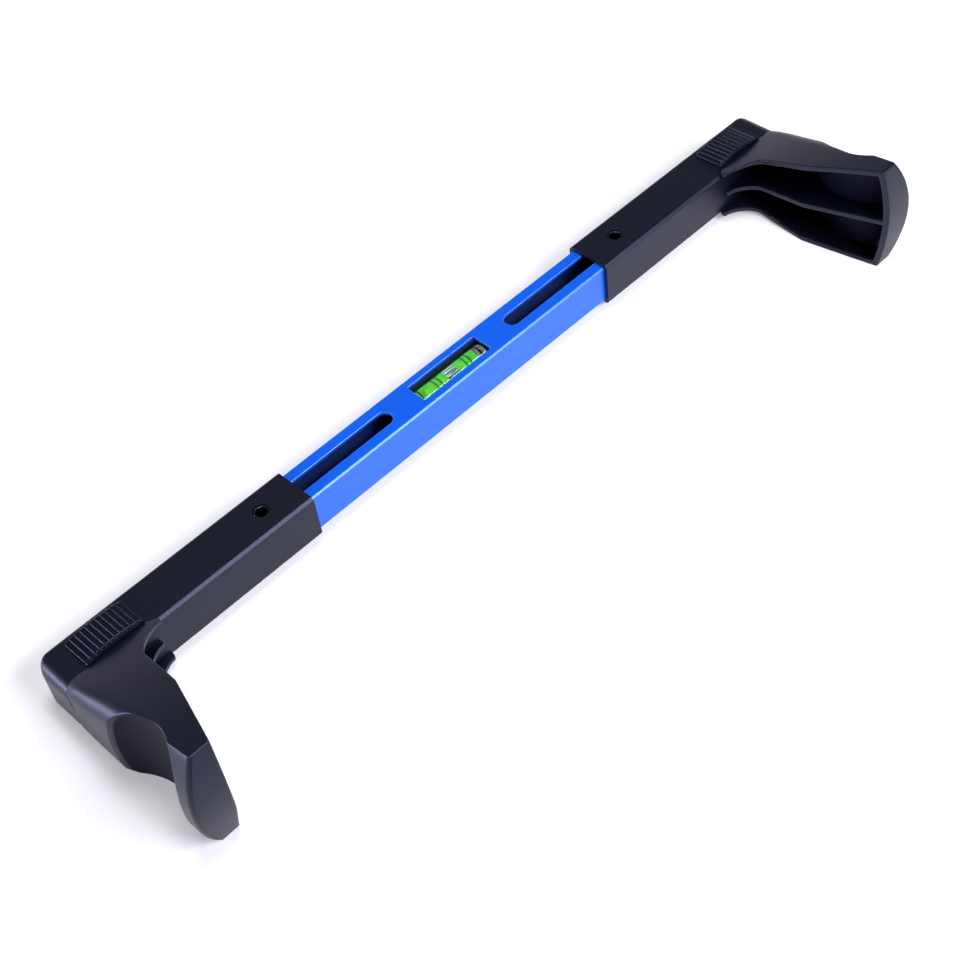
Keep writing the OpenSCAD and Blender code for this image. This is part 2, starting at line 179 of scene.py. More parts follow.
def round_edges(piece, radius, segments, test):
    """Bevels the edges whose two ends pass the test."""
    edit(piece, "EDGE", test)
    bpy.ops.mesh.bevel(offset=radius, segments=segments, affect="EDGES", clamp_overlap=True)
    bpy.ops.object.mode_set(mode="OBJECT")


def round_along(piece, axis, least, radius, segments):
    """Bevels the edges that run further than this along an axis, which is 0 for X."""
    edit(piece, "EDGE", everywhere)
    bpy.ops.object.mode_set(mode="OBJECT")
    for edge in piece.data.edges:
        start, end = (piece.data.vertices[i].co for i in edge.vertices)
        edge.select = abs(start[axis] - end[axis]) > least
    bpy.ops.object.mode_set(mode="EDIT")
    bpy.ops.mesh.bevel(offset=radius, segments=segments, affect="EDGES")
    bpy.ops.object.mode_set(mode="OBJECT")


def fill_loop(piece, test):
    """Closes the loop of edges whose ends pass the test with a face."""
    edit(piece, "EDGE", test)
    bpy.ops.mesh.edge_face_add()
    bpy.ops.object.mode_set(mode="OBJECT")


def modified(piece, kind, **settings):
    """Adds a modifier with its settings and applies it."""
    take(piece)
    modifier = piece.modifiers.new(kind.title(), kind)
    for name, value in settings.items():
        setattr(modifier, name, value)
    bpy.ops.object.modifier_apply(modifier=modifier.name)
    return piece


def cut_away(piece, cutter):
    """Takes the cutter's shape out of the piece."""
    modified(piece, "BOOLEAN", operation="DIFFERENCE", solver="EXACT", object=cutter)
    bpy.data.objects.remove(cutter)


def soften(piece, width, segments=2, angle=40):
    """Breaks every sharp edge, as a tool or a mould does."""
    modified(
        piece, "BEVEL", width=width, segments=segments, limit_method="ANGLE",
        angle_limit=math.radians(angle), use_clamp_overlap=True, miter_outer="MITER_ARC",
    )


def smooth(piece, angle=35):
    """Shades the piece smooth, except across corners sharper than the angle."""
    take(piece)
    bpy.ops.object.shade_smooth_by_angle(angle=math.radians(angle))


def level_shading(piece):
    """Keeps the large faces' shading flat beside their rounded edges."""
    modified(piece, "WEIGHTED_NORMAL", keep_sharp=True)


def welded(piece):
    """Merges the points that meet."""
    edit(piece, "VERT", everywhere)
    bpy.ops.mesh.remove_doubles(threshold=0.001 * MM)
    bpy.ops.object.mode_set(mode="OBJECT")
    return piece


def joined(name, pieces):
    """Joins pieces into one mesh and merges the points that meet."""
    take(None)
    for piece in pieces:
        piece.select_set(True)
    bpy.context.view_layer.objects.active = pieces[0]
    bpy.ops.object.join()
    whole = pieces[0]
    whole.name = name
    whole.data.name = name
    return welded(whole)


def face_out(piece):
    """Turns every face of a closed shell outwards."""
    edit(piece, "VERT", everywhere)
    bpy.ops.mesh.normals_make_consistent(inside=False)
    bpy.ops.object.mode_set(mode="OBJECT")


def formed_grid(name, columns, rows, place, weight=None):
    """A grid primitive whose points are placed by formula. It is for skins that curve two
    ways at once, which no edit tool gives. A weight marks the edges to round, 1 for most."""
    take(None)
    bpy.ops.mesh.primitive_grid_add(x_subdivisions=columns, y_subdivisions=rows, size=2)
    piece = started(name)
    mesh = piece.data
    spots = []
    for vertex in mesh.vertices:
        i = round((vertex.co.x + 1) / 2 * columns)
        j = round((vertex.co.y + 1) / 2 * rows)
        spots.append((i, j))
        vertex.co = Vector(place(i, j))
    if len(set(spots)) != (columns + 1) * (rows + 1):
        raise RuntimeError(f"{name}: the grid has {len(spots)} points")
    marks = mesh.attributes.new("bevel_weight_edge", "FLOAT", "EDGE")
    if weight:
        for edge in mesh.edges:
            marks.data[edge.index].value = weight(*(spots[i] for i in edge.vertices))
    return piece


def mirrored(piece):
    """A copy with its own mesh, mirrored to the left handle."""
    take(piece)
    bpy.ops.object.duplicate(linked=False)
    copy = bpy.context.object
    copy.name = piece.name.replace("right", "left")
    copy.data.name = copy.name
    copy.scale.x = -1
    take(copy)
    bpy.ops.object.transform_apply(location=True, rotation=True, scale=True)
    edit(copy, "FACE", everywhere)
    bpy.ops.mesh.flip_normals()
    bpy.ops.object.mode_set(mode="OBJECT")
    return copy


def finish_piece(piece, body, slot, finish, *nodes):
    """Gives the piece its material and its body, and hides the CAD nodes that it stands for. The slot
    is not used.
    """
    piece.data.materials.clear()
    piece.data.materials.append(finish)
    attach(piece, body)
    if nodes:
        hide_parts(*nodes)


def finish_pair(piece, slot, finish, node):
    """Mirrors a piece of the right handle to the left one, and finishes both."""
    pair = {"right": piece, "left": mirrored(piece)}
    for side, own in pair.items():
        finish_piece(own, f"{side}_handle", slot, finish, f"{side}_{node}")
    return pair.values()


# Materials


def add_node(tree, kind, sockets=None, **settings):
    """Adds a shader node with its settings, and sets or links its sockets."""
    node = tree.nodes.new(kind)
    for name, value in settings.items():
        setattr(node, name, value)
    for name, value in (sockets or {}).items():
        if isinstance(value, bpy.types.NodeSocket):
            tree.links.new(value, node.inputs[name])
        else:
            node.inputs[name].default_value = value
    return node


def new_material(name):
    """An empty material, its nodes, and its object coordinates in metres."""
    material = bpy.data.materials.new(name)
    material.use_nodes = True
    tree = material.node_tree
    tree.nodes.clear()
    return material, tree, add_node(tree, "ShaderNodeTexCoord").outputs["Object"]


def surfaced(material, sockets):
    """Ends a material in one Principled shader with these sockets."""
    tree = material.node_tree
    shader = add_node(tree, "ShaderNodeBsdfPrincipled", sockets)
    add_node(tree, "ShaderNodeOutputMaterial", {"Surface": shader.outputs[0]})
    return material


def dimmed(code, share):
    """A colour at a share of its brightness."""
    red, green, blue, alpha = linear(code)
    return (red * share, green * share, blue * share, alpha)


def worn_and_highlit_edges(tree, reach):
    """1 along every edge, concave ones too, and 0 on the flats between them: where hands and cloths
    rub, and where a highlight line is painted on.
    """
    rounded = add_node(tree, "ShaderNodeBevel", {"Radius": reach}, samples=4)
    true = add_node(tree, "ShaderNodeNewGeometry")
    match = add_node(
        tree, "ShaderNodeVectorMath",
        {0: rounded.outputs["Normal"], 1: true.outputs["Normal"]}, operation="DOT_PRODUCT",
    )
    mask = add_node(
        tree, "ShaderNodeMapRange",
        {"Value": match.outputs["Value"], "From Min": 0.995, "From Max": 0.90},
    )
    return mask.outputs["Result"]


def two_tone(tree, tone, wear_and_light, dark, light, wear_and_light_tone):
    """A colour that drifts from dark to light, and turns to a third colour where the mask lies: worn
    edges with a painted highlight, and in the bubble a painted dark rim.
    """
    base = add_node(tree, "ShaderNodeMix", {0: tone, 6: dark, 7: light}, data_type="RGBA")
    whole = add_node(
        tree, "ShaderNodeMix", {0: wear_and_light, 6: base.outputs[2], 7: wear_and_light_tone}, data_type="RGBA"
    )
    return whole.outputs[2]


def grained(tree, pattern, smooth, coarse, depth, strength):
    """A roughness that drifts from smooth to coarse with a pattern, and pits of that depth."""
    rough = add_node(
        tree, "ShaderNodeMapRange",
        {"Value": pattern, "From Min": 0.3, "From Max": 0.7, "To Min": smooth, "To Max": coarse},
    )
    pits = add_node(
        tree, "ShaderNodeBump", {"Height": pattern, "Distance": depth, "Strength": strength}
    )
    return rough.outputs[0], pits.outputs[0]


def moulded_abs(name, base, gloss, wear_and_light_tone, reach=0.5 * MM, shine=0.4):
    """ABS moulded in a spark-eroded tool: it has a fine even grain that spreads the light,
    so flats look satin and rounded edges carry a soft glint. Its edges are painted lighter,
    as polish from hands and as a painted highlight. The grain is about 0.1 mm and is drawn
    at 0.35 mm, so that it shows."""
    material, tree, place = new_material(name)
    cloud = add_node(tree, "ShaderNodeTexNoise", {"Vector": place, "Scale": 1 / (14 * MM)})
    grain = add_node(tree, "ShaderNodeTexNoise", {"Vector": place, "Scale": 1 / (0.35 * MM)})
    wear_and_light = worn_and_highlit_edges(tree, reach)
    satin, pits = grained(tree, grain.outputs[0], gloss - 0.04, gloss + 0.05, 0.01 * MM, 0.35)
    rough = add_node(
        tree, "ShaderNodeMath", {0: wear_and_light, 1: -0.06, 2: satin}, operation="MULTIPLY_ADD"
    )
    # Edges take the lighter tone: a painted highlight, and polish from hands.
    tint = two_tone(
        tree, cloud.outputs[0], wear_and_light, dimmed(base, 0.85), dimmed(base, 1.15),
        dimmed(base, wear_and_light_tone),
    )
    return surfaced(material, {
        "Base Color": tint, "Roughness": rough.outputs[0], "Normal": pits,
        "IOR": 1.52, "Specular IOR Level": shine, "Specular Tint": linear("#D6DAFF"),
    })


def anodised_aluminium(name, base, rubbed_and_highlit, share):
    """Drawn aluminium tube, blasted, dyed and sealed: the dye keeps the metal's glint in its
    own colour, and the clear sealed film over it adds a pale glint. Its edges are painted
    the rubbed colour, a painted near-white highlight line that also stands for rubbed wear.
    Draw lines run along the bar. They are about 0.05 mm apart and are drawn at 0.25 mm to
    show. The share is how bright the dye is drawn: a low share gives the darkened copy that
    the bore takes as painted shade."""
    material, tree, place = new_material(name)
    along = add_node(
        tree, "ShaderNodeMapping",
        {"Vector": place, "Scale": (1 / (40 * MM), 1 / (0.25 * MM), 1 / (0.25 * MM))},
    )
    lines = add_node(tree, "ShaderNodeTexNoise", {"Vector": along.outputs[0], "Scale": 1.0})
    cloud = add_node(tree, "ShaderNodeTexNoise", {"Vector": place, "Scale": 1 / (30 * MM)})
    grit = add_node(tree, "ShaderNodeTexNoise", {"Vector": place, "Scale": 1 / (0.2 * MM)})
    wear_and_light = worn_and_highlit_edges(tree, 0.25 * MM)
    rough, drawn = grained(tree, lines.outputs[0], 0.32, 0.42, 0.006 * MM, 0.4)
    blasted = add_node(
        tree, "ShaderNodeBump",
        {"Height": grit.outputs[0], "Distance": 0.005 * MM, "Strength": 0.35,
         "Normal": drawn},
    )
    tint = two_tone(
        tree, cloud.outputs[0], wear_and_light, dimmed(base, 0.93 * share), dimmed(base, share),
        linear(rubbed_and_highlit),
    )
    return surfaced(material, {
        "Base Color": tint, "Roughness": rough, "Normal": blasted.outputs[0],
        "Metallic": 0.35, "Coat Weight": 0.45 * share, "Coat Roughness": 0.22, "Coat IOR": 1.5,
        "Specular IOR Level": 0.35 * share,
    })


def blackened_steel(name, base):
    """Spring steel with a black oxide skin: dark, with its rim painted much lighter as a
    painted metal glint, and fine marks from coiling, which are drawn coarse to show."""
    material, tree, place = new_material(name)
    marks = add_node(tree, "ShaderNodeTexNoise", {"Vector": place, "Scale": 1 / (0.5 * MM)})
    wear_and_light = worn_and_highlit_edges(tree, 0.2 * MM)
    rough, coiled = grained(tree, marks.outputs[0], 0.28, 0.42, 0.006 * MM, 0.4)
    tint = two_tone(
        tree, marks.outputs[0], wear_and_light, dimmed(base, 0.8), dimmed(base, 1.4), dimmed(base, 12.0)
    )
    return surfaced(
        material, {"Base Color": tint, "Roughness": rough, "Normal": coiled, "Metallic": 1.0}
    )


def polished_acrylic(name, base):
    """Turned and polished acrylic: clear as glass, with a slight haze of fine scratches. Its edges
    are painted white, a painted highlight.
    """
    material, tree, place = new_material(name)
    haze = add_node(tree, "ShaderNodeTexNoise", {"Vector": place, "Scale": 1 / (1.5 * MM)})
    wear_and_light = worn_and_highlit_edges(tree, 0.2 * MM)
    rough, scratched = grained(tree, haze.outputs[0], 0.0, 0.03, 0.002 * MM, 0.1)
    tint = two_tone(
        tree, haze.outputs[0], wear_and_light, linear(base), linear("#FFFFFF"), linear("#FFFFFF")
    )
    return surfaced(material, {
        "Base Color": tint, "Roughness": rough, "Normal": scratched,
        "IOR": 1.49, "Specular IOR Level": 1.0, "Transmission Weight": 1.0,
    })


def wetted_bore(name):
    """The bore's wall, wetted by the fluid: nearly the same index on both sides, so the eye
    looks straight through it."""
    material, tree, place = new_material(name)
    film = add_node(tree, "ShaderNodeTexNoise", {"Vector": place, "Scale": 1 / (2 * MM)})
    rough, ripples = grained(tree, film.outputs[0], 0.08, 0.12, 0.002 * MM, 0.1)
    tint = two_tone(
        tree, film.outputs[0], 0.0, linear("#E8FFF0"), linear("#FFFFFF"), linear("#FFFFFF")
    )
    return surfaced(material, {
        "Base Color": tint, "Roughness": rough, "Normal": ripples, "IOR": 1.05, "Alpha": 0.02,
    })


def frosted_acrylic(name, base):
    """Moulded acrylic plug: clear, with its colour painted grey for what lies behind it and for its
    own haze. Its edges are painted white, a painted highlight.
    """
    material, tree, place = new_material(name)
    haze = add_node(tree, "ShaderNodeTexNoise", {"Vector": place, "Scale": 1 / (1.2 * MM)})
    wear_and_light = worn_and_highlit_edges(tree, 0.3 * MM)
    rough, frost = grained(tree, haze.outputs[0], 0.15, 0.3, 0.005 * MM, 0.3)
    tint = two_tone(
        tree, haze.outputs[0], wear_and_light, dimmed(base, 0.8), dimmed(base, 1.1), linear("#FFFFFF")
    )
    return surfaced(material, {
        "Base Color": tint, "Roughness": rough, "Normal": frost, "IOR": 1.49, "Alpha": 0.45,
    })


def dyed_spirit(name, base, glow):
    """Vial spirit with a fluorescent dye. A painted emission makes the fluid glow, standing for
    light through the vial and for the dye's own fluorescence; its two greens drift with a soft noise
    pattern."""
    material, tree, place = new_material(name)
    drift = add_node(tree, "ShaderNodeTexNoise", {"Vector": place, "Scale": 1 / (7 * MM)})
    tone = add_node(
        tree, "ShaderNodeMapRange",
        {"Value": drift.outputs[0], "From Min": 0.35, "From Max": 0.65},
    )
    rough, ripples = grained(tree, drift.outputs[0], 0.08, 0.12, 0.002 * MM, 0.1)
    tint = two_tone(tree, tone.outputs[0], 0.0, linear(base), linear(glow), linear(glow))
    # The emission is a painted glow.
    return surfaced(material, {
        "Base Color": tint, "Roughness": rough, "Normal": ripples, "IOR": 1.36,
        "Emission Color": tint, "Emission Strength": 0.6, "Alpha": 0.6,
    })


def air_in_spirit(name, base, rim):
    """Air in the spirit: long pale streaks with dark ones between are painted along it as a
    painted reflection of the lamps. Its sides, where it turns down into the dyed fluid, are painted
    dark as a painted rim shade, and a faint emission paints a glow."""
    material, tree, place = new_material(name)
    # Painted dark rim: darker where the surface turns sideways and down.
    outward = add_node(tree, "ShaderNodeTexCoord").outputs["Normal"]
    upward = add_node(tree, "ShaderNodeSeparateXYZ", {"Vector": outward})
    ring = add_node(
        tree, "ShaderNodeMapRange",
        {"Value": upward.outputs["Z"], "From Min": 0.75, "From Max": 0.35},
    )
    # Painted streaks of lamp reflection, drawn with a stretched noise.
    along = add_node(
        tree, "ShaderNodeMapping",
        {"Vector": place, "Scale": (1 / (14 * MM), 1 / (0.9 * MM), 1 / (0.9 * MM))},
    )
    painted_lamp_streaks = add_node(tree, "ShaderNodeTexNoise", {"Vector": along.outputs[0], "Scale": 1.0})
    dark = add_node(
        tree, "ShaderNodeMapRange",
        {"Value": painted_lamp_streaks.outputs[0], "From Min": 0.42, "From Max": 0.53},
    )
    rough, ripples = grained(tree, painted_lamp_streaks.outputs[0], 0.06, 0.12, 0.002 * MM, 0.1)
    tint = two_tone(
        tree, dark.outputs[0], ring.outputs[0], linear(base), linear(rim), linear(rim)
    )
    return surfaced(material, {
        "Base Color": tint, "Roughness": rough, "Normal": ripples, "IOR": 1.45,
        "Emission Color": tint, "Emission Strength": 0.3,
    })


def baked_ink(name, base):
    """Baked ring ink: flat black with a slight sheen and a faintly uneven tone. Its edges are painted
    lighter, a painted highlight.
    """
    material, tree, place = new_material(name)
    tone = add_node(tree, "ShaderNodeTexNoise", {"Vector": place, "Scale": 1 / (0.3 * MM)})
    wear_and_light = worn_and_highlit_edges(tree, 0.05 * MM)
    rough, skin = grained(tree, tone.outputs[0], 0.3, 0.4, 0.003 * MM, 0.3)
    tint = two_tone(
        tree, tone.outputs[0], wear_and_light, dimmed(base, 0.6), dimmed(base, 1.4), dimmed(base, 2.0)
    )
    return surfaced(
        material, {"Base Color": tint, "Roughness": rough, "Normal": skin, "IOR": 1.5}
    )


def nitrile_rubber(name, base):
    """Moulded nitrile cord: dull black with a faint grey bloom, paler along its edges, as rubbed wear
    and as a painted highlight.
    """
    material, tree, place = new_material(name)
    bloom = add_node(tree, "ShaderNodeTexNoise", {"Vector": place, "Scale": 1 / (0.5 * MM)})
    wear_and_light = worn_and_highlit_edges(tree, 0.1 * MM)
    rough, skin = grained(tree, bloom.outputs[0], 0.6, 0.75, 0.01 * MM, 0.4)
    tint = two_tone(
        tree, bloom.outputs[0], wear_and_light, dimmed(base, 0.8), dimmed(base, 1.3), dimmed(base, 1.8)
    )
    return surfaced(
        material, {"Base Color": tint, "Roughness": rough, "Normal": skin, "IOR": 1.52}
    )


def studio_paper(name, base, near, far):
    """Matt white studio paper. It is lifted to white for the eye and for gloss and glass,
    least round the level, where it keeps the shadow."""
    material, tree, place = new_material(name)
    path = add_node(tree, "ShaderNodeLightPath")
    seen = add_node(
        tree, "ShaderNodeMath",
        {0: path.outputs["Is Camera Ray"], 1: path.outputs["Is Glossy Ray"]}, operation="MAXIMUM",
    )
    seen = add_node(
        tree, "ShaderNodeMath",
        {0: seen.outputs[0], 1: path.outputs["Is Transmission Ray"]}, operation="MAXIMUM",
    )
    away = add_node(tree, "ShaderNodeVectorMath", {0: place}, operation="LENGTH")
    lift = add_node(
        tree, "ShaderNodeMapRange",
        {"Value": away.outputs["Value"], "From Min": 0.35, "From Max": 1.1,
         "To Min": near, "To Max": far},
    )
    strength = add_node(
        tree, "ShaderNodeMath", {0: seen.outputs[0], 1: lift.outputs[0]}, operation="MULTIPLY"
    )
    paper = add_node(tree, "ShaderNodeBsdfDiffuse", {"Color": linear(base)})
    glow = add_node(tree, "ShaderNodeEmission", {"Strength": strength.outputs[0]})
    both = add_node(tree, "ShaderNodeAddShader", {0: paper.outputs[0], 1: glow.outputs[0]})
    add_node(tree, "ShaderNodeOutputMaterial", {"Surface": both.outputs[0]})
    return material


# The bar


class BarSettings(bpy.types.PropertyGroup):
    wall: length("Wall", 1.5 * MM, "Wall of the square tube")
    edge_radius: length("Edge radius", 0.6 * MM, "Radius of the tube's long edges")
    window_length: length("Window length", 42 * MM, "Length of the vial's window")
    window_width: length("Window width", 11.8 * MM, "Width of the vial's window")
    window_corner: length("Window corner", 0.9 * MM, "Radius of the window's corners")
    slot_inner: length("Slot start", 36.5 * MM, "Distance from the bar's middle to each slot")
    slot_outer: length("Slot end", 115.4 * MM, "Distance from the bar's middle to the slot's far end")
    slot_width: length("Slot width", 8.3 * MM, "Width of the guide slots")
    break_width: length("Edge break", 0.3 * MM, "Width of the broken edges of the cut-outs")
    dye: colour("Dye", "#006CFF", "Colour of the anodised aluminium")


class LEVEL_OT_bar(bpy.types.Operator):
    """Builds the slotted square bar"""

    bl_idname = "wheel_level.bar"
    bl_label = "Build Bar"

    def execute(self, context):
        bar = context.scene.level_bar
        half, end = TUBE_HALF, TUBE_HIGH.x
        past = 5 * MM
        tube = block("bar_tube", (-end, -half, -half), (end, half, half))
        along, upright = 0, 2
        round_along(tube, along, end, bar.edge_radius, 1)
        bore = half - bar.wall
        cut_away(tube, block("bore", (-end - past, -bore, -bore), (end + past, bore, bore)))
        for side in SIDES.values():
            ends = sorted([side * bar.slot_inner, side * bar.slot_outer])
            wide = bar.slot_width / 2
            slot = block("slot", (ends[0], -wide, -half - past), (ends[1], wide, half + past))
            round_along(slot, upright, MM, wide - 0.002 * MM, 14)
            cut_away(tube, slot)
        long, wide = bar.window_length / 2, bar.window_width / 2
        window = block("window", (-long, -wide, 0), (long, wide, half + past))
        round_along(window, upright, MM, bar.window_corner, 6)
        cut_away(tube, window)
        soften(tube, bar.break_width, 1, 50)
        smooth(tube, 35)
        level_shading(tube)
        dye = hex_of(bar.dye)
        # The edges are painted near-white blue: a painted highlight line that also stands for rubbed
        # wear.
        finish = anodised_aluminium("blue_anodised_aluminium", dye, "#8CC4FF", 1.0)
        finish_piece(tube, "beam", "bar", finish, "tube")
        # The bore takes a darkened copy of the dye: painted shade inside the tube.
        inside = anodised_aluminium("shaded_anodised_bore", dye, "#0A2C90", 0.12)
        tube.data.materials.append(inside)
        for face in tube.data.polygons:
            deep = max(abs(face.center.y), abs(face.center.z)) < half - bar.wall * 0.9
            face.material_index = 1 if deep else 0
        return {"FINISHED"}


def hex_of(value):
    """The sRGB hex value of a linear colour."""
    parts = [p * 12.92 if p <= 0.0031308 else 1.055 * p ** (1 / 2.4) - 0.055 for p in value]
    return "#" + "".join(f"{round(p * 255):02X}" for p in parts)


# The handles


class HandleSettings(bpy.types.PropertyGroup):
    wall: length("Sleeve wall", 1.6 * MM, "Wall of the sleeve round its bore")
    bore_end: length("Bore end", 212.2 * MM, "Distance from the bar's middle to the bore's end")
    edge_radius: length("Edge radius", 2.0 * MM, "Radius of the sleeve's long edges")
    edge_flat: length("Edge flat", 1.35 * MM, "Leg of the flat along the front upper edge")
    flat_round: length("Flat's rounds", 0.5 * MM, "Radius on both sides of that flat")
    corner_radius: length("Back corner", 7.0 * MM, "Radius of the outer back corner from above")
    nose_radius: length("Nose", 6.4 * MM, "Radius of the sleeve's upper nose")
    chin_radius: length("Chin", 2.0 * MM, "Radius of the sleeve's lower nose")
    seat_gap: length("Pad seat gap", 0.12 * MM, "Gap round the thumb pad in its seat")
    break_width: length("Edge break", 0.28 * MM, "Width of the broken edges of the mouth and holes")
    plastic: colour("Plastic", "#0B0D1A", "Colour of the moulded handles")
    pad_plastic: colour("Pad plastic", "#0B0D1A", "Colour of the thumb pads")
    inner_plastic: colour("Inner plastic", "#0C0D12", "Colour of the plugs and the cradle")


class LEVEL_OT_sleeves(bpy.types.Operator):
    """Builds the two sleeves that slide on the bar"""

    bl_idname = "wheel_level.sleeves"
    bl_label = "Build Sleeves"

    corner_steps = 7

    def section(self, sizes, x):
        """The sleeve's outline across X at this place, from its lower front corner round."""
        out = SLEEVE_HIGH.x
        nose, chin, back = sizes.nose_radius, sizes.chin_radius, sizes.corner_radius
        drop = lambda r: r - math.sqrt(max(r * r - max(x - (out - r), 0) ** 2, 0))
        top, low, rear = FACE - drop(nose), -FACE + drop(chin), FACE - drop(back)
        r = sizes.edge_radius
        corners = [(-FACE + r, low + r, 180), (-FACE + r, top - r, 90),
                   (rear - r, top - r, 0), (rear - r, low + r, -90)]
        points = []
        for y, z, start in corners:
            for k in range(self.corner_steps + 1):
                turn = math.radians(start + 90 - 90 * k / self.corner_steps)
                if start == 90:
                    half = k if k <= self.corner_steps / 2 else k - 1
                    turn = math.radians(180 - 90 * half / (self.corner_steps - 1))
                    points.append(self.flat_corner(sizes, top, k, turn))
                else:
                    points.append((y + r * math.cos(turn), z + r * math.sin(turn)))
        return points + points[:1]

    def flat_corner(self, sizes, top, k, turn):
        """A point of the front upper edge, which is a flat at 45 degrees between two small
        rounds. In the photo it is one even bright stripe."""
        small, leg = sizes.flat_round, sizes.edge_flat
        far = leg + small * math.tan(math.radians(22.5))
        if k <= self.corner_steps / 2:
            y, z = -FACE + small, top - far
        else:
            y, z = -FACE + far, top - small
        return y + small * math.cos(turn), z + small * math.sin(turn)

    def execute(self, context):
        sizes = context.scene.level_handles
        mouth, out = SLEEVE_LOW.x, SLEEVE_HIGH.x
        bend = out - sizes.corner_radius
        steps = 20
        stations = [mouth, between(mouth, bend, 0.5)]
        stations += [bend + sizes.corner_radius * math.sin(math.radians(90 * k / steps))
                     for k in range(steps + 1)]
        sections = [self.section(sizes, x) for x in stations]
        around = len(sections[0]) - 1
        sleeve = welded(formed_grid(
            "right_sleeve_shell", around, len(stations) - 1,
            lambda i, j: (stations[j], *sections[j][i]),
        ))
        tiny = 0.01 * MM
        for place in (mouth, out):
            fill_loop(sleeve, lambda p: abs(p.x - place) < tiny)
        face_out(sleeve)
        edit(sleeve, "FACE", lambda p: abs(p.x - mouth) < tiny)
        bpy.ops.mesh.inset(thickness=sizes.wall, use_even_offset=True)
        bpy.ops.mesh.extrude_region_move(
            TRANSFORM_OT_translate={"value": (sizes.bore_end - mouth, 0, 0)}
        )
        bpy.ops.object.mode_set(mode="OBJECT")
        take(None)
        bpy.ops.mesh.primitive_cylinder_add(
            vertices=64, radius=PIN_R + 0.02 * MM, depth=4 * FACE, location=(PIN_X, 0, 0)
        )
        cut_away(sleeve, started("pin_hole"))
        gap = sizes.seat_gap
        cut_away(sleeve, block(
            "pad_seat",
            (PAD_LOW.x - gap, PAD_LOW.y - gap, PAD_LOW.z - gap),
            (PAD_HIGH.x + gap, PAD_HIGH.y + gap, PAD_HIGH.z + gap),
        ))
        soften(sleeve, sizes.break_width, 2, 55)
        smooth(sleeve, 38)
        # Edges are painted three times lighter: a painted highlight, and polish from hands.
        finish = moulded_abs("black_moulded_abs", hex_of(sizes.plastic), 0.37, 3.0)
        for piece in finish_pair(sleeve, "black_plastic", finish, "sleeve"):
            level_shading(piece)
        return {"FINISHED"}


class HookSettings(bpy.types.PropertyGroup):
    wall: length("Wall", 2.5 * MM, "Wall of the hook's plates")
    end_wall: length("End wall", 2.9 * MM, "Wall of the hook's end plate")
    reach: length("Reach", 77.5 * MM, "Reach of the bowed end from the sleeve's front face")
    root_top: length("Root top", 13.6 * MM, "Height of the hook's top at its root")
    root_low: length("Root bottom", 12.0 * MM, "Depth of the hook's bottom at its root")
    tip_top: length("Tip top", 31.0 * MM, "Height of the hook's top at its tip")
    tip_low: length("Tip bottom", 27.0 * MM, "Depth of the hook's bottom at its tip")
    profile_radius: length("Profile radius", 400 * MM, "Radius of the top and bottom curves")
    end_radius: length("End bow", 98 * MM, "Radius of the bowed end plate")
    root_bow: length("Root bow", 190 * MM, "Radius of the outer wall's bow at the root")
    tip_bow: length("Tip bow", 54 * MM, "Radius of the outer wall's bow at the tip")
    root_shoulder: length("Root shoulder", 6.6 * MM, "Radius of the upper outer edge at the root")
    shoulder: length("Shoulder", 9.0 * MM, "Radius of the upper outer edge beside the scoop")
    root_chin: length("Root lower edge", 1.6 * MM, "Radius of the lower outer edge at the root")
    chin: length("Lower edge", 4.2 * MM, "Radius of the lower outer edge beside the scoop")
    bay_radius: length("Bay radius", 20 * MM, "Radius of the bay that seats the wheel's rim")
    scoop_radius: length("Scoop radius", 26.5 * MM, "Radius of the thumb scoop")
    scoop_depth: length("Scoop depth", 11.4 * MM, "Depth of the thumb scoop")
    rib: length("Middle rib", 2.4 * MM, "Thickness of the middle rib")
    rib_setback: length("Rib setback", 2.5 * MM, "Distance the rib's root lies behind the plates'")
    rim_break: length("Rim edge", 0.45 * MM, "Width of the rounded edges of the hook's rims")
    end_round: length("End edge", 1.7 * MM, "Width of the rounded edge beside the end plate")


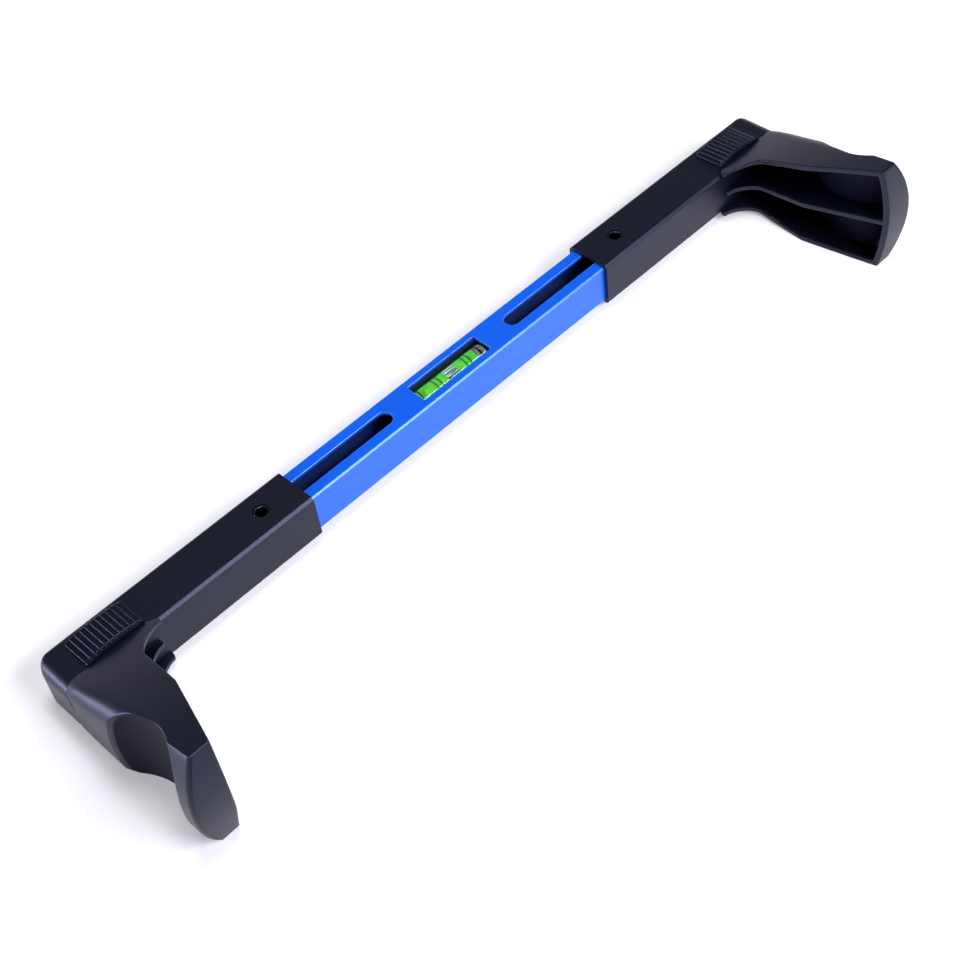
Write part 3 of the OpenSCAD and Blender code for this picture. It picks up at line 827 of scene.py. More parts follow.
class HookSkin:
    """One skin of the right hook, in millimetres: the outer one, or the inner one at a
    depth below it. A skin is a strip of columns that runs from the bay's edge over the top,
    round the outer wall and back under the bottom, and it ends in a plate of its own."""

    lap_rows = 3
    near_rows = 24
    scoop_rows = 20
    far_rows = 5
    flat_columns = 10
    turn_columns = 8
    wall_columns = 10

    # Distances inwards from the handle's end, and outwards from the sleeve's front face
    bay_in, bay_gap = 48.0, 2.2
    crook_in, crook_reach = 29.4, 36.8
    tip_in, tip_setback, tip_drawn_in = 17.3, 4.3, 1.5
    scoop_reach = 47.5
    grown_reach = 22.0
    inner_lap, seat_gap = 0.9, 0.2

    # The edge's turns, in degrees, and their radii: root corner, bay, then a tight turn
    root_turn, root_corner = 86.0, 1.1
    bay_start, bay_stop = 82.0, 40.0
    tight_radius, tight_stop = 7.5, 3.0

    def __init__(self, sizes, depth, end_depth):
        self.depth = depth
        self.end_depth = end_depth
        self.front = -FACE / MM
        self.out = SLEEVE_HIGH.x / MM
        self.low_back = self.front + self.inner_lap
        self.lap_back = PAD_LOW.y / MM - self.seat_gap if depth == 0 else self.low_back
        self.end = self.front - sizes.reach / MM
        self.end_r = sizes.end_radius / MM
        self.end_z = (sizes.tip_top - sizes.tip_low) / 2 / MM
        self.bows = sizes.root_bow / MM, sizes.tip_bow / MM
        self.shoulders = sizes.root_shoulder / MM, sizes.shoulder / MM
        self.chins = sizes.root_chin / MM, sizes.chin / MM
        self.profile_r = sizes.profile_radius / MM - depth
        tops = sizes.root_top / MM, sizes.tip_top / MM
        lows = -sizes.root_low / MM, -sizes.tip_low / MM
        self.top_centre = self.arc_centre(*tops, 1, sizes.profile_radius / MM)
        self.low_centre = self.arc_centre(*lows, -1, sizes.profile_radius / MM)
        self.bay_r = sizes.bay_radius / MM
        self.bay = self.out - self.bay_in, self.front - self.bay_gap - self.bay_r
        self.crook = self.out - self.crook_in, self.front - self.crook_reach
        self.tip_x = self.out - self.tip_in
        self.scoop_r = sizes.scoop_radius / MM + depth
        self.scoop = (self.out - sizes.scoop_depth / MM + sizes.scoop_radius / MM,
                      self.front - self.scoop_reach)
        self.side_columns = 2 * self.turn_columns + self.wall_columns
        self.rows = self.near_rows + self.scoop_rows + self.far_rows
        self.columns = 2 * self.flat_columns + self.side_columns
        self.shares = self.column_shares()
        self.near = [self.crease(j, True) for j in range(self.side_columns + 1)]
        self.far = [self.crease(j, False) for j in range(self.side_columns + 1)]
        self.ends = self.end_outline()

    def arc_centre(self, root, tip, sense, radius):
        """The centre, in Y and Z, of the arc through the hook's heights at root and tip."""
        tip_y = self.end + self.tip_setback
        run, rise = tip_y - self.front, tip - root
        span = math.hypot(run, rise)
        off = math.sqrt(radius**2 - (span / 2) ** 2)
        return ((tip_y + self.front) / 2 - sense * off * rise / span,
                (tip + root) / 2 + sense * off * run / span)

    def top(self, y):
        centre_y, centre_z = self.top_centre
        return centre_z + math.sqrt(self.profile_r**2 - (y - centre_y) ** 2)

    def low(self, y):
        centre_y, centre_z = self.low_centre
        return centre_z - math.sqrt(self.profile_r**2 - (y - centre_y) ** 2)

    def end_y(self, z):
        """The bowed end plate's place at this height."""
        radius = self.end_r - self.end_depth
        return self.end + self.end_r - math.sqrt(radius**2 - (z - self.end_z) ** 2)

    def bow(self, y):
        """Centre and radius of the outer wall's bow at this reach. It is nearly flat at the
        root, where it carries on the sleeve's end, and round at the tip."""
        share = (self.front - y) / (self.front - self.end)
        radius = 1 / between(1 / self.bows[0], 1 / self.bows[1], eased(share * 1.25))
        return self.out - radius, between(-4.0, 1.5, share), radius - self.depth

    def wall_x(self, y, z):
        centre_x, centre_z, radius = self.bow(y)
        return centre_x + math.sqrt(max(radius**2 - (z - centre_z) ** 2, 0))

    def scoop_x(self, y):
        return self.scoop[0] - math.sqrt(max(self.scoop_r**2 - (y - self.scoop[1]) ** 2, 0))

    def side(self, y, j):
        """X and Z of a side column between the root and the scoop: the shoulder's round,
        the bowed wall, then the lower edge's round."""
        centre_x, centre_z, radius = self.bow(y)
        share = eased((self.front - y) / self.grown_reach)
        shoulder = max(between(*self.shoulders, share) - self.depth, 0.6)
        chin = max(between(*self.chins, share) - self.depth, 0.6)
        up, down = self.top(y) - shoulder, self.low(y) + chin
        above = math.asin((up - centre_z) / (radius - shoulder))
        below = math.asin((down - centre_z) / (radius - chin))
        turns, walls = self.turn_columns, self.wall_columns
        if j <= turns:
            angle = between(math.pi / 2, above, j / turns)
            x = centre_x + (radius - shoulder) * math.cos(above)
            return x + shoulder * math.cos(angle), up + shoulder * math.sin(angle)
        if j <= turns + walls:
            angle = between(above, below, (j - turns) / walls)
            return centre_x + radius * math.cos(angle), centre_z + radius * math.sin(angle)
        angle = between(below, -math.pi / 2, (j - turns - walls) / turns)
        x = centre_x + (radius - chin) * math.cos(below)
        return x + chin * math.cos(angle), down + chin * math.sin(angle)

    def column_shares(self):
        """Each side column's share of the way down the side, by length."""
        y = self.scoop[1] + 0.6 * self.scoop_r
        places = [self.side(y, j) for j in range(self.side_columns + 1)]
        steps = [0.0]
        for a, b in zip(places, places[1:]):
            steps.append(steps[-1] + math.dist(a, b))
        return [s / steps[-1] for s in steps]

    def crease(self, j, near):
        """Where the scoop meets a side column, as its reach and its height."""
        inside, outside = self.scoop[1], self.scoop[1] + (self.scoop_r if near else -self.scoop_r)
        for _ in range(40):
            y = (inside + outside) / 2
            if near:
                x, z = self.side(y, j)
            else:
                z = between(self.top(y), self.low(y), self.shares[j])
                x = self.wall_x(y, z)
            if self.scoop_x(y) < x:
                inside = y
            else:
                outside = y
        return y, z

    def end_outline(self):
        """Where each side column meets the end plate, as its reach and its height."""
        corners = []
        for edge in (self.top, self.low):
            y = self.end + self.tip_setback
            for _ in range(20):
                y = self.end_y(edge(y))
            corners.append(edge(y))
        heights = [between(*corners, share) for share in self.shares]
        return [(self.end_y(z), z) for z in heights]

    def side_point(self, row, j):
        """A point of a side column. Rows run from the root to the end plate."""
        near_y, near_z = self.near[j]
        far_y, far_z = self.far[j]
        if row <= self.near_rows:
            y = between(self.front, near_y, row / self.near_rows)
            x, z = self.side(y, j)
            return x, y, z
        if row <= self.near_rows + self.scoop_rows:
            share = (row - self.near_rows) / self.scoop_rows
            turns = [math.asin((y - self.scoop[1]) / self.scoop_r) for y in (near_y, far_y)]
            turn = between(*turns, share)
            y = self.scoop[1] + self.scoop_r * math.sin(turn)
            x = self.scoop[0] - self.scoop_r * math.cos(turn)
            start = (self.top(near_y) - near_z) / (self.top(near_y) - self.low(near_y))
            down = between(start, self.shares[j], eased(share * 1.6))
            return x, y, between(self.top(y), self.low(y), down)
        share = (row - self.near_rows - self.scoop_rows) / self.far_rows
        end_y, end_z = self.ends[j]
        y = between(far_y, end_y, share)
        if j == 0:
            z = self.top(y)
        elif j == self.side_columns:
            z = self.low(y)
        else:
            z = between(far_z, end_z, share)
        return self.wall_x(y, z), y, z

    def tip_edge_x(self, y, z):
        """The free edge from the crook to the tip, which draws in a little low down."""
        crook_x, crook_y = self.crook
        share = (crook_y - y) / (crook_y - self.end)
        low_down = eased((-z - 6) / 21)
        return between(crook_x, self.tip_x, share) + self.tip_drawn_in * share * low_down

    def edge(self, row, end_y, z):
        """The hook's inner edge: past a small rounded corner it follows the bay, then runs
        to the crook and on to the tip."""
        bay_x, bay_y = self.bay
        start, stop, corner = self.bay_start, self.bay_stop, self.root_corner
        tight, last = self.tight_radius, self.tight_stop
        root_x = bay_x + self.bay_r * math.cos(math.radians(self.root_turn))
        if row <= 1:
            return root_x, between(self.front, self.front - 1.15, row)
        if row <= 5:
            turn = math.radians(between(0, 78, (row - 2) / 3))
            return (root_x + corner * (1 - math.cos(turn)),
                    self.front - 1.25 - corner * math.sin(turn))
        turn_row, run_row, crook_row = 17, 21, self.near_rows + 2
        if row <= turn_row:
            angle = math.radians(between(start, stop, (row - 6) / (turn_row - 6)))
            return bay_x + self.bay_r * math.cos(angle), bay_y + self.bay_r * math.sin(angle)
        reach = self.bay_r - tight
        bay_x += reach * math.cos(math.radians(stop))
        bay_y += reach * math.sin(math.radians(stop))
        if row <= run_row:
            angle = math.radians(between(stop, last, (row - turn_row) / (run_row - turn_row)))
            return bay_x + tight * math.cos(angle), bay_y + tight * math.sin(angle)
        if row <= crook_row:
            angle = math.radians(last)
            low = bay_x + tight * math.cos(angle), bay_y + tight * math.sin(angle)
            share = (row - run_row) / (crook_row - run_row)
            return between(low[0], self.crook[0], share), between(low[1], self.crook[1], share)
        y = between(self.crook[1], end_y, (row - crook_row) / (self.rows - crook_row))
        return self.tip_edge_x(y, z), y

    def rib_z(self, y):
        """Height of the middle rib's middle at this reach."""
        return 1.5 * (self.front - y) / (self.front - self.end)

    def edge_line(self, y, z):
        """About where the hook's inner edge lies at this reach."""
        if y < self.crook[1]:
            return self.tip_edge_x(y, z)
        bay_x, bay_y = self.bay
        return bay_x + math.sqrt(max(self.bay_r**2 - (y - bay_y) ** 2, 0)) - 3.0

    def strip_point(self, i, row):
        """A point of the strip, in millimetres. Rows below zero lap over the sleeve."""
        lap = 0.0
        if row < 0:
            lap = -row / self.lap_rows
            row = 0
        flats, sides = self.flat_columns, self.side_columns
        j = min(max(i - flats, 0), sides)
        x, y, z = self.side_point(row, j)
        if lap:
            back = self.lap_back if i <= flats + self.turn_columns else self.low_back
            y = between(self.front, back, lap)
            x, z = self.side(y, j)
            x -= 0.45 * lap * min(j / self.turn_columns, 1.0) ** 1.5
        if flats <= i <= flats + sides:
            return x, y, z
        over = i < flats
        share = i / flats if over else (self.columns - i) / flats
        end_y = self.ends[0 if over else sides][0]
        edge_x, edge_y = self.edge(row, end_y, self.ends[0 if over else sides][1])
        if lap:
            edge_x, edge_y = between(edge_x, PAD_LOW.x / MM, lap), y
        x, y = between(edge_x, x, share), between(edge_y, y, share)
        return x, y, self.top(y) if over else self.low(y)

    def end_point(self, i, j):
        """A point of the end plate, in millimetres, from its free edge to the outer wall."""
        y, z = self.ends[j]
        inner = self.tip_edge_x(y, z)
        return between(inner, self.wall_x(y, z), i / self.flat_columns), y, z


class LEVEL_OT_hooks(bpy.types.Operator):
    """Builds the two hollow ribbed hooks"""

    bl_idname = "wheel_level.hooks"
    bl_label = "Build Hooks"

    def skin(self, name, form, sizes):
        """The strip and the end plate of one skin, joined, with their edges marked."""
        flats, sides = form.flat_columns, form.side_columns
        near, far = form.near_rows, form.near_rows + form.scoop_rows
        last, laps = form.rows, form.lap_rows
        outer = form.depth == 0
        rim = 1.0
        end = sizes.end_round / sizes.rim_break if outer else 1.0

        def strip_weight(a, b):
            (i1, j1), (i2, j2) = sorted([a, b])
            row1, row2 = j1 - laps, j2 - laps
            if i1 == i2:
                on_rim = i1 in (0, form.columns)
                on_side_edge = i1 in (flats, flats + sides) and min(row1, row2) >= near
                return rim if on_rim or on_side_edge else 0.0
            if row1 == -laps:
                return 0.6 if outer else 0.0
            on_side = flats <= i1 and i2 <= flats + sides
            if row1 == last:
                return end if on_side else 1.0
            if on_side and row1 == near:
                middle = (i1 + i2) / 2 - flats
                reach = min(middle, sides - middle) / form.turn_columns
                return between(1.0, 4.0, eased(reach)) if outer else 1.0
            if on_side and row1 == far:
                return 1.2
            return 0.0

        def end_weight(a, b):
            (i1, j1), (i2, j2) = sorted([a, b])
            if i1 == i2 == 0:
                return rim
            if i1 == i2 == flats:
                return end
            return 1.0 if j1 == j2 and j1 in (0, sides) else 0.0

        def cap(weight):
            return lambda a, b: min(weight(a, b) / 5.0, 1.0)

        strip = formed_grid(
            name, form.columns, last + laps,
            lambda i, j: Vector(form.strip_point(i, j - laps)) * MM, cap(strip_weight),
        )
        plate = formed_grid(
            name + "_end", flats, sides,
            lambda i, j: Vector(form.end_point(i, j)) * MM, cap(end_weight),
        )
        return joined(name, [strip, plate])

    def rib(self, form, sizes):
        """The middle rib, a plate that follows the hook's edge and ends in its walls."""
        middle = form.flat_columns + form.side_columns // 2
        sink = 0.6
        rows = form.rows - 1

        def place(i, row):
            row += 1
            share = i / form.flat_columns
            wall_x, wall_y, _ = form.strip_point(middle, row)
            end_y = form.end_y(form.end_z)
            edge_x, edge_y = form.edge(row, end_y, form.end_z)
            back = sizes.rib_setback / MM * (1 - eased((row - 4) / 14))
            edge_x += back
            x, y = between(edge_x, wall_x + sink, share), between(edge_y, wall_y, share)
            if row == form.rows:
                y -= sink
            if row == 1:
                y = form.front + sink
            return Vector((x, y, form.rib_z(y))) * MM

        plate = formed_grid("rib", form.flat_columns, rows, place,
                            lambda a, b: 1.0 if a[0] == b[0] == 0 else 0.0)
        modified(plate, "SOLIDIFY", thickness=sizes.rib, offset=0.0)
        face_out(plate)
        return plate

    def execute(self, context):
        sizes = context.scene.level_hooks
        outer = HookSkin(sizes, 0.0, 0.0)
        inner = HookSkin(sizes, sizes.wall / MM, sizes.end_wall / MM)
        hook = joined("right_hook_shell", [
            self.skin("outer_skin", outer, sizes), self.skin("inner_skin", inner, sizes),
        ])
        take(hook)
        bpy.ops.object.mode_set(mode="EDIT")
        bpy.ops.mesh.select_mode(type="EDGE")
        bpy.ops.mesh.select_all(action="DESELECT")
        bpy.ops.mesh.select_non_manifold(
            extend=False, use_wire=False, use_boundary=True, use_multi_face=False,
            use_non_contiguous=False, use_verts=False,
        )
        bpy.ops.mesh.bridge_edge_loops()
        bpy.ops.object.mode_set(mode="OBJECT")
        face_out(hook)
        modified(
            hook, "BEVEL", width=5.0 * sizes.rim_break, segments=3, limit_method="WEIGHT",
            use_clamp_overlap=False, miter_outer="MITER_SHARP", loop_slide=True,
        )
        plate = self.rib(inner, sizes)
        soften(plate, sizes.rim_break * 1.3, 3, 50)
        hook = joined("right_hook_shell", [hook, plate])
        smooth(hook, 40)
        plastic = hex_of(context.scene.level_handles.plastic)
        # A duller copy of the plastic for the scoop and the rooms: painted shade.
        matt = moulded_abs("shaded_matt_moulded_abs", plastic, 0.5, 2.0, shine=0.1)
        satin = bpy.data.materials["black_moulded_abs"]
        for piece in finish_pair(hook, "black_plastic", satin, "hook"):
            piece.data.materials.append(matt)
            for face in piece.data.polygons:
                shaded_matt_face = self.is_shaded_matt(outer, face.center / MM, face.normal)
                face.material_index = 1 if shaded_matt_face else 0
        return {"FINISHED"}

    def is_shaded_matt(self, form, p, normal):
        """Whether a face lies in the hook's rooms or in its thumb scoop, which take a duller,
        less glossy copy of the plastic as painted shade."""
        x, skin, past_rim, half_rib = abs(p.x), 1.4, 1.0, 1.0
        near_scoop, straight, past_front = 0.3, 0.99, 0.5
        if abs(p.y - form.scoop[1]) < form.scoop_r and abs(x - form.scoop_x(p.y)) < near_scoop:
            to_axis = form.scoop[0] - form.scoop_x(p.y), form.scoop[1] - p.y
            facing = abs(normal.x) * to_axis[0] + normal.y * to_axis[1]
            return facing > straight * form.scoop_r
        if not form.end_y(p.z) + skin < p.y < form.front - past_front:
            return False
        if abs(p.z - form.rib_z(p.y)) < half_rib:
            return False
        wall = form.wall_x(p.y, p.z)
        if abs(p.y - form.scoop[1]) < form.scoop_r:
            wall = min(wall, form.scoop_x(p.y))
        from_wall = wall - x
        for from_edge, radius in ((form.top(p.y) - p.z, form.shoulders[1]),
                                  (p.z - form.low(p.y), form.chins[1])):
            if from_edge < skin or from_wall < skin:
                return False
            if from_edge < radius and from_wall < radius:
                if math.hypot(radius - from_edge, radius - from_wall) > radius - skin:
                    return False
        return x > form.edge_line(p.y, p.z) + past_rim


class PadSettings(bpy.types.PropertyGroup):
    crown: length("Crown", 1.7 * MM, "Rise of the pad's middle over its ends")
    plate: length("Plate", 1.35 * MM, "Height of the pad's plate above the sleeve at its ends")
    back_drop: length("Back drop", 0.6 * MM, "How much lower the pad's back edge lies")
    border: length("Border", 1.3 * MM, "Width of the plain border along the pad's front")
    rib_height: length("Rib height", 0.35 * MM, "Height of each rib above the plate")
    rib_width: length("Rib width", 0.65 * MM, "Width of each rib")
    edge_radius: length("Edge radius", 0.25 * MM, "Radius of the pad's upper edges")
    ribs: bpy.props.IntProperty(name="Ribs", description="Number of ribs", default=12, min=2)


class LEVEL_OT_pads(bpy.types.Operator):
    """Builds the two crowned thumb pads with their ribs"""

    bl_idname = "wheel_level.pads"
    bl_label = "Build Thumb Pads"

    def rib(self, start, width):
        """Places and heights across one half-round rib, as shares of its height."""
        steps = 8
        turns = [math.pi * k / steps for k in range(steps + 1)]
        return [(start + width * (1 - math.cos(t)) / 2, math.sin(t)) for t in turns]

    def execute(self, context):
        sizes = context.scene.level_pads
        low, high = PAD_LOW, PAD_HIGH
        run, width = high.x - low.x, sizes.rib_width
        radius = ((run / 2) ** 2 + sizes.crown**2) / (2 * sizes.crown)
        pitch = (run - width) / (sizes.ribs - 1)
        across = []
        for k in range(sizes.ribs):
            across += self.rib(low.x + k * pitch, width)
        inside = low.y + sizes.border
        along = [(low.y, 0.0), (between(low.y, inside, 0.5), 0.0)] + self.rib(inside, width)
        along += [(between(inside + width, high.y - width, k / 4), 0.0) for k in (1, 2, 3)]
        along += self.rib(high.y - width, width)
        ends = 8, len(across) - 9

        def place(i, j):
            x, rib_up = across[i]
            y, rim_up = along[j]
            if y < inside and ends[0] < i < ends[1]:
                rib_up = 0.0
            off = x - (low.x + high.x) / 2
            arc = FACE + sizes.plate + sizes.crown - radius + math.sqrt(radius**2 - off**2)
            arc -= sizes.back_drop * eased((y - low.y) / (high.y - low.y))
            return x, y, arc + sizes.rib_height * max(rib_up, rim_up)

        pad = formed_grid("right_pad_plate", len(across) - 1, len(along) - 1, place)
        edit(pad, "EDGE", self.on_outline)
        bpy.ops.mesh.extrude_region_move(TRANSFORM_OT_translate={"value": (0, 0, -20 * MM)})
        bpy.ops.object.mode_set(mode="OBJECT")
        for vertex in pad.data.vertices:
            if vertex.co.z < 0:
                vertex.co.z = low.z
        fill_loop(pad, lambda p: abs(p.z - low.z) < 0.01 * MM)
        face_out(pad)
        round_edges(pad, sizes.edge_radius, 3, lambda p: p.z > FACE and self.on_outline(p))
        smooth(pad, 40)
        handles = context.scene.level_handles
        plastic = hex_of(handles.pad_plastic)
        # Edges and rib tops are painted 4.5 times lighter: a painted highlight, and polish from
        # hands.
        finish = moulded_abs("pad_moulded_abs", plastic, 0.27, 4.5, 0.12 * MM)
        finish_pair(pad, "pad_plastic", finish, "thumb_pad")
        return {"FINISHED"}

    def on_outline(self, p):
        """Whether a point lies on the pad's outline, seen from above."""
        near = 0.001 * MM
        on_x = min(abs(p.x - PAD_LOW.x), abs(p.x - PAD_HIGH.x)) < near
        return on_x or min(abs(p.y - PAD_LOW.y), abs(p.y - PAD_HIGH.y)) < near


class LEVEL_OT_pins(bpy.types.Operator):
    """Builds the two slotted spring pins"""

    bl_idname = "wheel_level.pins"
    bl_label = "Build Guide Pins"

    wall: length("Wall", 1.1 * MM, "Wall of the spring pin")
    slit: length("Slit", 1.2 * MM, "Width of the slit along the pin")

    def execute(self, context):
        take(None)
        bpy.ops.mesh.primitive_cylinder_add(
            vertices=72, radius=PIN_R, depth=PIN_HIGH.z - PIN_LOW.z,
            location=(PIN_X, 0, 0), end_fill_type="NOTHING",
        )
        pin = started("right_spring_pin")
        half = self.slit / 2
        edit(pin, "FACE", lambda p: p.x > PIN_X and abs(p.y) < half + 0.05 * MM)
        bpy.ops.mesh.delete(type="FACE")
        bpy.ops.object.mode_set(mode="OBJECT")
        modified(pin, "SOLIDIFY", thickness=self.wall, offset=-1.0, use_even_offset=True)
        soften(pin, 0.2 * MM, 2, 50)
        smooth(pin, 35)
        # The rim is painted twelve times lighter: a painted glint.
        finish = blackened_steel("blackened_spring_steel", "#2A2B31")
        finish_pair(pin, "pin_steel", finish, "guide_pin")
        return {"FINISHED"}


# The vial


class VialSettings(bpy.types.PropertyGroup):
    bore_radius: length("Bore", 4.0 * MM, "Radius of the vial's bore at its middle")
    crown: length("Crown", 0.1 * MM, "How much narrower the bore is at its ends")
    wet_film: length("Wet film", 0.2 * MM, "Clear film between the fluid's colour and the bore")
    bubble_gap: length("Bubble gap", 0.12 * MM, "Gap between the bubble's top and the bore")
    seal_cord: length("Seal cord", 1.2 * MM, "Diameter of the seal's cord")
    ring_width: length("Ring width", 0.58 * MM, "Width of each printed ring")
    ring_inner: length("Inner ring", 7.8 * MM, "Distance from the vial's middle to the inner rings")
    ring_pitch: length("Ring pitch", 2.7 * MM, "Distance between the rings on each side")
    fluid: colour("Fluid", "#2EC84A", "Colour of the vial's fluid near its bubble")
    fluid_glow: colour("Fluid glow", "#6FD83E", "Colour of the fluid where it is lit through")


def turned(name, outline, steps=64):
    """A piece turned about the vial's axis: a circle primitive, extruded and resized from
    one place and radius of the outline to the next."""
    take(None)
    x, radius = outline[0]
    bpy.ops.mesh.primitive_circle_add(
        vertices=steps, radius=radius, fill_type="NGON",
        location=(x, VIAL_Y, VIAL_Z), rotation=(0, math.pi / 2, 0),
    )
    piece = started(name)
    edit(piece, "FACE", everywhere)
    for next_x, next_radius in outline[1:]:
        bpy.ops.mesh.extrude_region_move(TRANSFORM_OT_translate={"value": (next_x - x, 0, 0)})
        scale = next_radius / radius
        bpy.ops.transform.resize(
            value=(1, scale, scale), center_override=(next_x, VIAL_Y, VIAL_Z)
        )
        x, radius = next_x, next_radius
    bpy.ops.object.mode_set(mode="OBJECT")
    return piece


def with_back(piece, x):
    """Closes a turned piece at its start, where its first circle was drawn up."""
    fill_loop(piece, lambda p: abs(p.x - x) < 0.001 * MM)
    face_out(piece)


class LEVEL_OT_vial(bpy.types.Operator):
    """Builds the spirit vial with its plug, seal, fluid, rings and bubble"""

    bl_idname = "wheel_level.vial"
    bl_label = "Build Vial"

    def execute(self, context):
        sizes = context.scene.level_vial
        radius = (VIAL_HIGH.y - VIAL_LOW.y) / 2
        bore, narrow = sizes.bore_radius, sizes.bore_radius - sizes.crown
        left, right = VIAL_LOW.x, VIAL_HIGH.x
        start, stop = FLUID_LOW.x, FLUID_HIGH.x
        middle = (start + stop) / 2
        chamfer = 0.35 * MM
        barrel = turned("vial_tube", [
            (left, radius - chamfer), (left + chamfer, radius), (right - chamfer, radius),
            (right, radius - chamfer), (right, narrow), (stop, narrow), (middle, bore),
            (start, narrow),
        ])
        with_back(barrel, left)
        smooth(barrel, 30)
        # The barrel's edges are painted white: a painted highlight.
        clear = polished_acrylic("polished_acrylic", "#F2FFF6")
        finish_piece(barrel, "beam", "vial_clear", clear, "vial_barrel")
        barrel.data.materials.append(wetted_bore("wetted_bore"))
        for face in barrel.data.polygons:
            off = Vector((0, face.center.y - VIAL_Y, face.center.z - VIAL_Z)).length
            in_bore = off < (bore + radius) / 2 and face.center.x > start - 0.1 * MM
            face.material_index = 1 if in_bore and face.center.x < right - 0.1 * MM else 0

        overlap = 0.015 * MM
        filled = narrow - sizes.wet_film
        fluid = turned("vial_spirit", [
            (start - overlap, filled - 0.3 * MM), (start + 0.3 * MM, filled),
            (stop - 0.02 * MM, filled),
        ])
        with_back(fluid, start - overlap)
        smooth(fluid, 40)
        # The fluid glows by a painted emission.
        dyed = dyed_spirit("fluorescent_spirit_painted_glow", hex_of(sizes.fluid), hex_of(sizes.fluid_glow))
        finish_piece(fluid, "beam", "vial_green", dyed, "vial_fluid")

        self.build_plug(sizes, narrow, stop, right)
        self.build_rings(sizes, radius)
        self.build_bubble(sizes)
        return {"FINISHED"}

    def build_plug(self, sizes, narrow, stop, right):
        cord = sizes.seal_cord
        seal_x = (stop + right) / 2
        half = 0.6 * cord
        groove = narrow - 0.8 * cord
        plug_r, chamfer = narrow - 0.01 * MM, 0.25 * MM
        plug = turned("vial_end_plug", [
            (PLUG_LOW.x, plug_r - chamfer), (PLUG_LOW.x + chamfer, plug_r),
            (seal_x - half, plug_r), (seal_x - half, groove),
            (seal_x + half, groove), (seal_x + half, plug_r),
            (PLUG_HIGH.x - chamfer, plug_r), (PLUG_HIGH.x, plug_r - chamfer),
        ], 48)
        with_back(plug, PLUG_LOW.x)
        smooth(plug, 30)
        # The plug's edges are painted white: a painted highlight.
        clear = frosted_acrylic("moulded_clear_acrylic", "#B4C4C0")
        finish_piece(plug, "beam", "vial_cap", clear, "vial_plug")
        take(None)
        bpy.ops.mesh.primitive_torus_add(
            major_radius=narrow - cord / 2, minor_radius=cord / 2 * 0.98,
            major_segments=64, minor_segments=16,
            location=(seal_x, VIAL_Y, VIAL_Z), rotation=(0, math.pi / 2, 0),
        )
        seal = started("vial_seal_ring")
        smooth(seal, 60)
        # The seal's edges are painted lighter: a painted highlight, and rubbing.
        rubber = nitrile_rubber("nitrile_rubber", "#17171B")
        finish_piece(seal, "beam", "seal_rubber", rubber, "vial_seal")

    def build_rings(self, sizes, radius):
        middle = (RINGS_LOW.x + RINGS_HIGH.x) / 2
        outside = RINGS_HIGH.z - VIAL_Z
        bands = []
        for side in SIDES.values():
            for out in (sizes.ring_inner, sizes.ring_inner + sizes.ring_pitch):
                take(None)
                bpy.ops.mesh.primitive_cylinder_add(
                    vertices=64, radius=outside, depth=sizes.ring_width,
                    location=(middle + side * out, VIAL_Y, VIAL_Z),
                    rotation=(0, math.pi / 2, 0), end_fill_type="NOTHING",
                )
                band = started("ring")
                thickness = outside - radius - 0.005 * MM
                modified(band, "SOLIDIFY", thickness=thickness, offset=-1.0)
                soften(band, 0.03 * MM, 1, 50)
                bands.append(band)
        rings = joined("vial_ring_lines", bands)
        smooth(rings, 30)
        # The ink's edges are painted lighter: a painted highlight.
        ink = baked_ink("baked_ring_ink", "#0C0D10")
        finish_piece(rings, "beam", "ring_ink", ink, "vial_rings")

    def build_bubble(self, sizes):
        """The bubble lies against the top of the bore, so its top takes the bore's curve."""
        radius = (BUBBLE_HIGH.z - BUBBLE_LOW.z) / 2
        middle = (BUBBLE_LOW + BUBBLE_HIGH) / 2
        half = (BUBBLE_HIGH.x - BUBBLE_LOW.x) / 2 - radius
        take(None)
        bpy.ops.mesh.primitive_uv_sphere_add(
            segments=48, ring_count=25, radius=radius, location=middle, rotation=(0, math.pi / 2, 0)
        )
        bubble = started("vial_air_bubble")
        for side in SIDES.values():
            edit(bubble, "VERT", lambda p: side * (p.x - middle.x) > 0.01 * MM)
            bpy.ops.transform.translate(value=(side * half, 0, 0))
            bpy.ops.object.mode_set(mode="OBJECT")
        crown = sizes.bore_radius - sizes.bubble_gap
        for vertex in bubble.data.vertices:
            y, z = vertex.co.y - VIAL_Y, vertex.co.z - VIAL_Z
            off = math.hypot(y, z)
            inward = 1 - min(max(abs(vertex.co.x - middle.x) - half, 0) / radius, 1) ** 3
            lift = eased((vertex.co.z - middle.z) / (0.45 * radius)) * inward
            scale = between(off, crown, lift) / off
            vertex.co.y, vertex.co.z = VIAL_Y + y * scale, VIAL_Z + z * scale
        smooth(bubble, 60)
        # Pale painted lamp streaks, and a dark painted rim.
        air = air_in_spirit("air_in_spirit", "#E4F6FF", "#1C6A48")
        finish_piece(bubble, "bubble", "bubble_clear", air, "bubble")


class LEVEL_OT_inner_parts(bpy.types.Operator):
    """Finishes the guide plugs and the vial's cradle, whose CAD shapes are right"""

    bl_idname = "wheel_level.inner_parts"
    bl_label = "Finish Inner Parts"

    def execute(self, context):
        plastic = hex_of(context.scene.level_handles.inner_plastic)
        # Edges are painted twice as light: a painted highlight, and polish.
        finish = moulded_abs("inner_moulded_abs", plastic, 0.48, 2.0)
        for node in ("left_guide_plug", "right_guide_plug", "vial_cradle"):
            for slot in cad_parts[node].material_slots:
                slot.material = finish
        return {"FINISHED"}


# The stage


